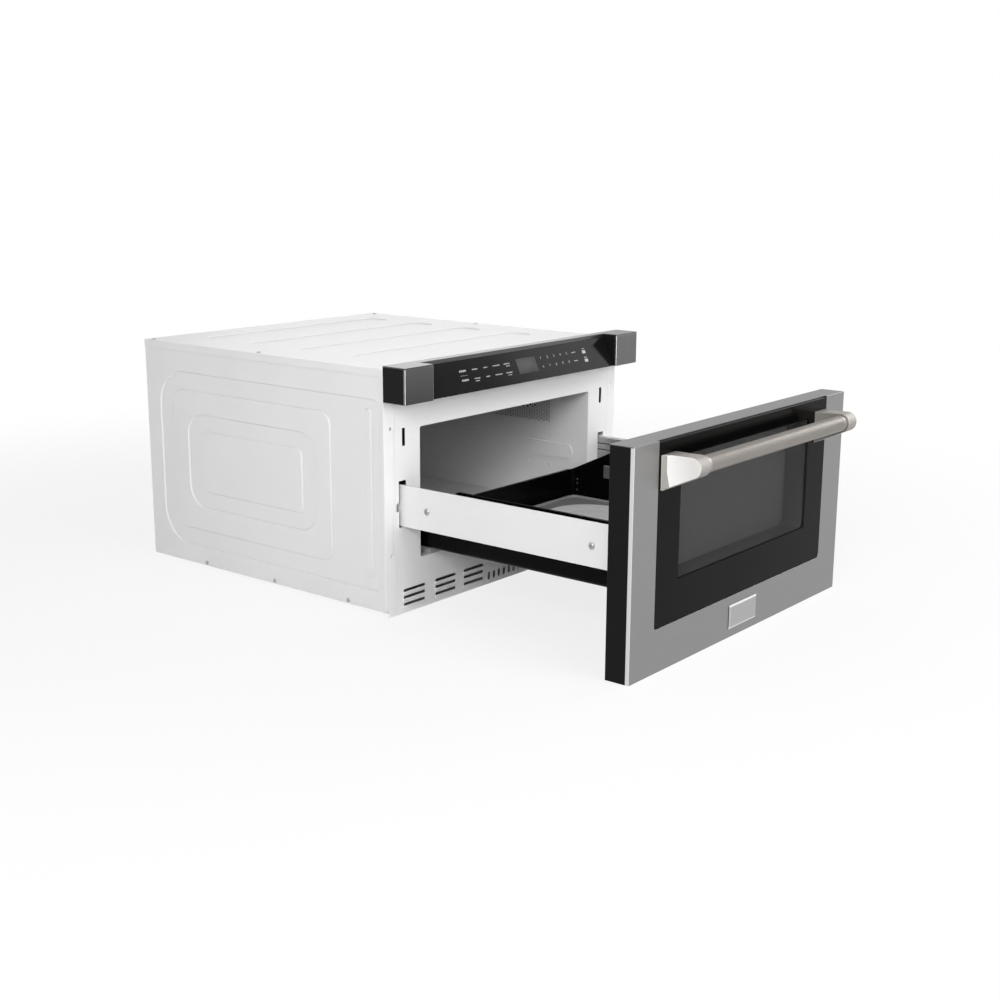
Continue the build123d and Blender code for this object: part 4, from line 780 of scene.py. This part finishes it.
# --- Handle ---------------------------------------------------------------------------------
# A steel bar with a fine diamond knurl sits between two cast brackets. They have a warm satin
# nickel finish, and their outer faces are painted bright as a highlight.
nickel = Finish("satin_nickel", {})
normal = nickel.node("NewGeometry", {}, {}, "Normal")
facing = nickel.node("SeparateXYZ", {}, {"Vector": normal}, 0)
width, depth, height = nickel.axes()
bracket_side = 0.214
painted_outer_highlight = (facing * width) > bracket_side
cast = nickel.grain((500, 500, 500), 3)
cast_tone = nickel.mix(tone(140, 4), tone(154, 4), cast)
nickel.feed("Base Color", nickel.mix(cast_tone, tone(218, 2), painted_outer_highlight))
nickel.feed("Metallic", 1 - 0.55 * painted_outer_highlight)
nickel.feed("Roughness", 0.5 + 0.1 * cast)
nickel.bump(cast, 0.00001)
ease(nickel, 0.0012, "left_handle_bracket", "right_handle_bracket", segments=3)

low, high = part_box("handle_bar")
bar_middle = (low + high) / 2
bar_radius = (high.z - low.z) / 2
knurl_depth = 0.0005
bar_steel = rubbed("bar_steel", (40, 1200, 1200), 0.36)[0]
width, depth, height = bar_steel.axes()
behind_axis = depth - bar_middle.y
above_axis = height - bar_middle.z
from_axis = depth.math("SQRT", behind_axis * behind_axis + above_axis * above_axis)
# The floors of the knurl's cuts are painted dark as shade.
knurl_groove_shade = from_axis < bar_radius - 0.75 * knurl_depth
worn = bar_steel.mix(tone(134, 5), tone(162, 5), bar_steel.grain((40, 1200, 1200), 3))
bar_steel.feed("Base Color", bar_steel.mix(worn, tone(58, 5), knurl_groove_shade))
knurl_around = 24
knurl_pitch = 0.004
plain_end = 0.008
samples_around = knurl_around * 4
samples_along = round((high.x - low.x) / knurl_pitch * 4)
work = bmesh.new()
rings = []
for step in range(samples_along + 1):
    x = low.x + (high.x - low.x) * step / samples_along
    inside = min(x - low.x, high.x - x) > plain_end
    ring = []
    for turn in range(samples_around):
        cut = 0
        if inside:
            lean = (step + turn) % 4, (step - turn) % 4
            cut = knurl_depth if 2 in lean else 0
        angle = 2 * pi * turn / samples_around
        radius = bar_radius - cut
        depth = bar_middle.y + radius * cos(angle)
        ring.append(work.verts.new((x, depth, bar_middle.z + radius * sin(angle))))
    rings.append(ring)
for ring, beside in zip(rings, rings[1:]):
    for turn in range(samples_around):
        after = (turn + 1) % samples_around
        work.faces.new((ring[turn], beside[turn], beside[after], ring[after]))
work.faces.new(rings[0])
work.faces.new(reversed(rings[-1]))
bmesh.ops.recalc_face_normals(work, faces=work.faces)
bar = model("handle_bar_dressed", work, bar_steel, "handle_bar")
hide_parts("handle_bar")

# --- Floor, light and camera ----------------------------------------------------------------
# A plain pale floor and backdrop that the camera, metal and glass see as white, and six soft
# square lights around the object. The camera stands where the photograph was taken from.
floor_level = -0.0022
floor_reach = 60.0
object_middle = (0, -0.2, 0.2)
mesh = bpy.data.meshes.new("studio_floor")
signs = ((-1, -1), (1, -1), (1, 1), (-1, 1))
corners = [(x * floor_reach, y * floor_reach, floor_level) for x, y in signs]
mesh.from_pydata(corners, [], [(0, 1, 2, 3)])
studio_floor = bpy.data.objects.new("studio_floor", mesh)
bpy.context.scene.collection.objects.link(studio_floor)


def sees_backdrop(nodes):
    """1 for the rays of the camera, of metal and of glass, and 0 for all other light."""
    rays = nodes.node("LightPath", {}, {}).socket.node.outputs
    kinds = ("Camera", "Glossy", "Transmission")
    camera, glossy, clear = [Flow(nodes, rays[f"Is {kind} Ray"]) for kind in kinds]
    return camera.math("MAXIMUM", camera.math("MAXIMUM", camera, glossy), clear)


white = (1, 1, 1, 1)
paper = Finish("floor_paper", {"Base Color": (0.8, 0.8, 0.8, 1), "Roughness": 0.9})
distance = paper.node("VectorMath", {"operation": "LENGTH"}, {0: paper.place()}, "Value")
spread = {"Value": distance, "From Min": 0.7, "From Max": 1.8}
away = paper.node("MapRange", {"interpolation_type": "SMOOTHSTEP"}, spread)
share = sees_backdrop(paper) * (0.8 + 0.2 * away)
glow = paper.node("Emission", {}, {"Color": white, "Strength": 1.0})
shown = paper.node("MixShader", {}, {0: share, 1: Flow(paper, paper.shader.outputs[0]), 2: glow})
paper.join(shown, paper.tree.nodes["Material Output"].inputs["Surface"])
mesh.materials.append(paper.material)

world = bpy.data.worlds.new("studio")
world.use_nodes = True
bpy.context.scene.world = world
sky = Nodes(world.node_tree)
sky.tree.nodes.clear()
direction = sky.node("TexCoord", {}, {}, "Generated")
rise = sky.node("SeparateXYZ", {}, {"Vector": direction}, 2)
shades = [(0.0, (0.1, 0.1, 0.1, 1)), (0.5, (0.24, 0.24, 0.24, 1))]
room = sky.node("Background", {}, {"Color": sky.node("ValToRGB", {"stops": shades}, {"Fac": rise})})
backdrop = sky.node("Background", {}, {"Color": white})
shown = sky.node("MixShader", {}, {0: sees_backdrop(sky), 1: room, 2: backdrop})
sky.node("OutputWorld", {}, {"Surface": shown})


def softbox(name, place, target, size, power):
    """A square area light that faces a point, with its size in metres and its power in watts."""
    light = bpy.data.lights.new(name, "AREA")
    light.shape = "SQUARE"
    light.size = size
    light.energy = power
    lamp = bpy.data.objects.new(name, light)
    lamp.location = place
    lamp.rotation_euler = (Vector(target) - Vector(place)).to_track_quat("-Z", "Y").to_euler()
    bpy.context.scene.collection.objects.link(lamp)


softbox("left_light", (-2.45, -1.6, 1.4), object_middle, 1.2, 50)
softbox("front_light", (0.1, -3.0, 0.7), object_middle, 1.6, 43)
softbox("high_light", (-0.4, -2.2, 2.4), object_middle, 1.6, 21)
softbox("right_light", (2.6, -1.2, 1.2), object_middle, 1.4, 23)
softbox("top_light", (0.0, 0.0, 2.6), object_middle, 2.0, 5)
softbox("rear_light", (2.4, 2.2, 1.3), object_middle, 1.6, 10)

camera_place = Vector((-1.85168, -1.75755, 0.69394))
yaw = radians(51.25)
pitch = radians(-13.367)
roll = radians(0.285)
focal_pixels = 1454.67
forward = Vector((sin(yaw) * cos(pitch), cos(yaw) * cos(pitch), sin(pitch)))
level_right = Vector((cos(yaw), -sin(yaw), 0))
level_up = level_right.cross(forward)
right = cos(roll) * level_right + sin(roll) * level_up
up = cos(roll) * level_up - sin(roll) * level_right
lens = bpy.data.cameras.new("camera")
lens.sensor_width = 36.0
lens.lens = focal_pixels * lens.sensor_width / 1000
camera = bpy.data.objects.new("camera", lens)
turn = Matrix((right, up, -forward)).transposed().to_4x4()
camera.matrix_world = Matrix.Translation(camera_place) @ turn
bpy.context.scene.collection.objects.link(camera)
bpy.context.scene.camera = camera
bpy.context.scene.view_settings.view_transform = "Standard"
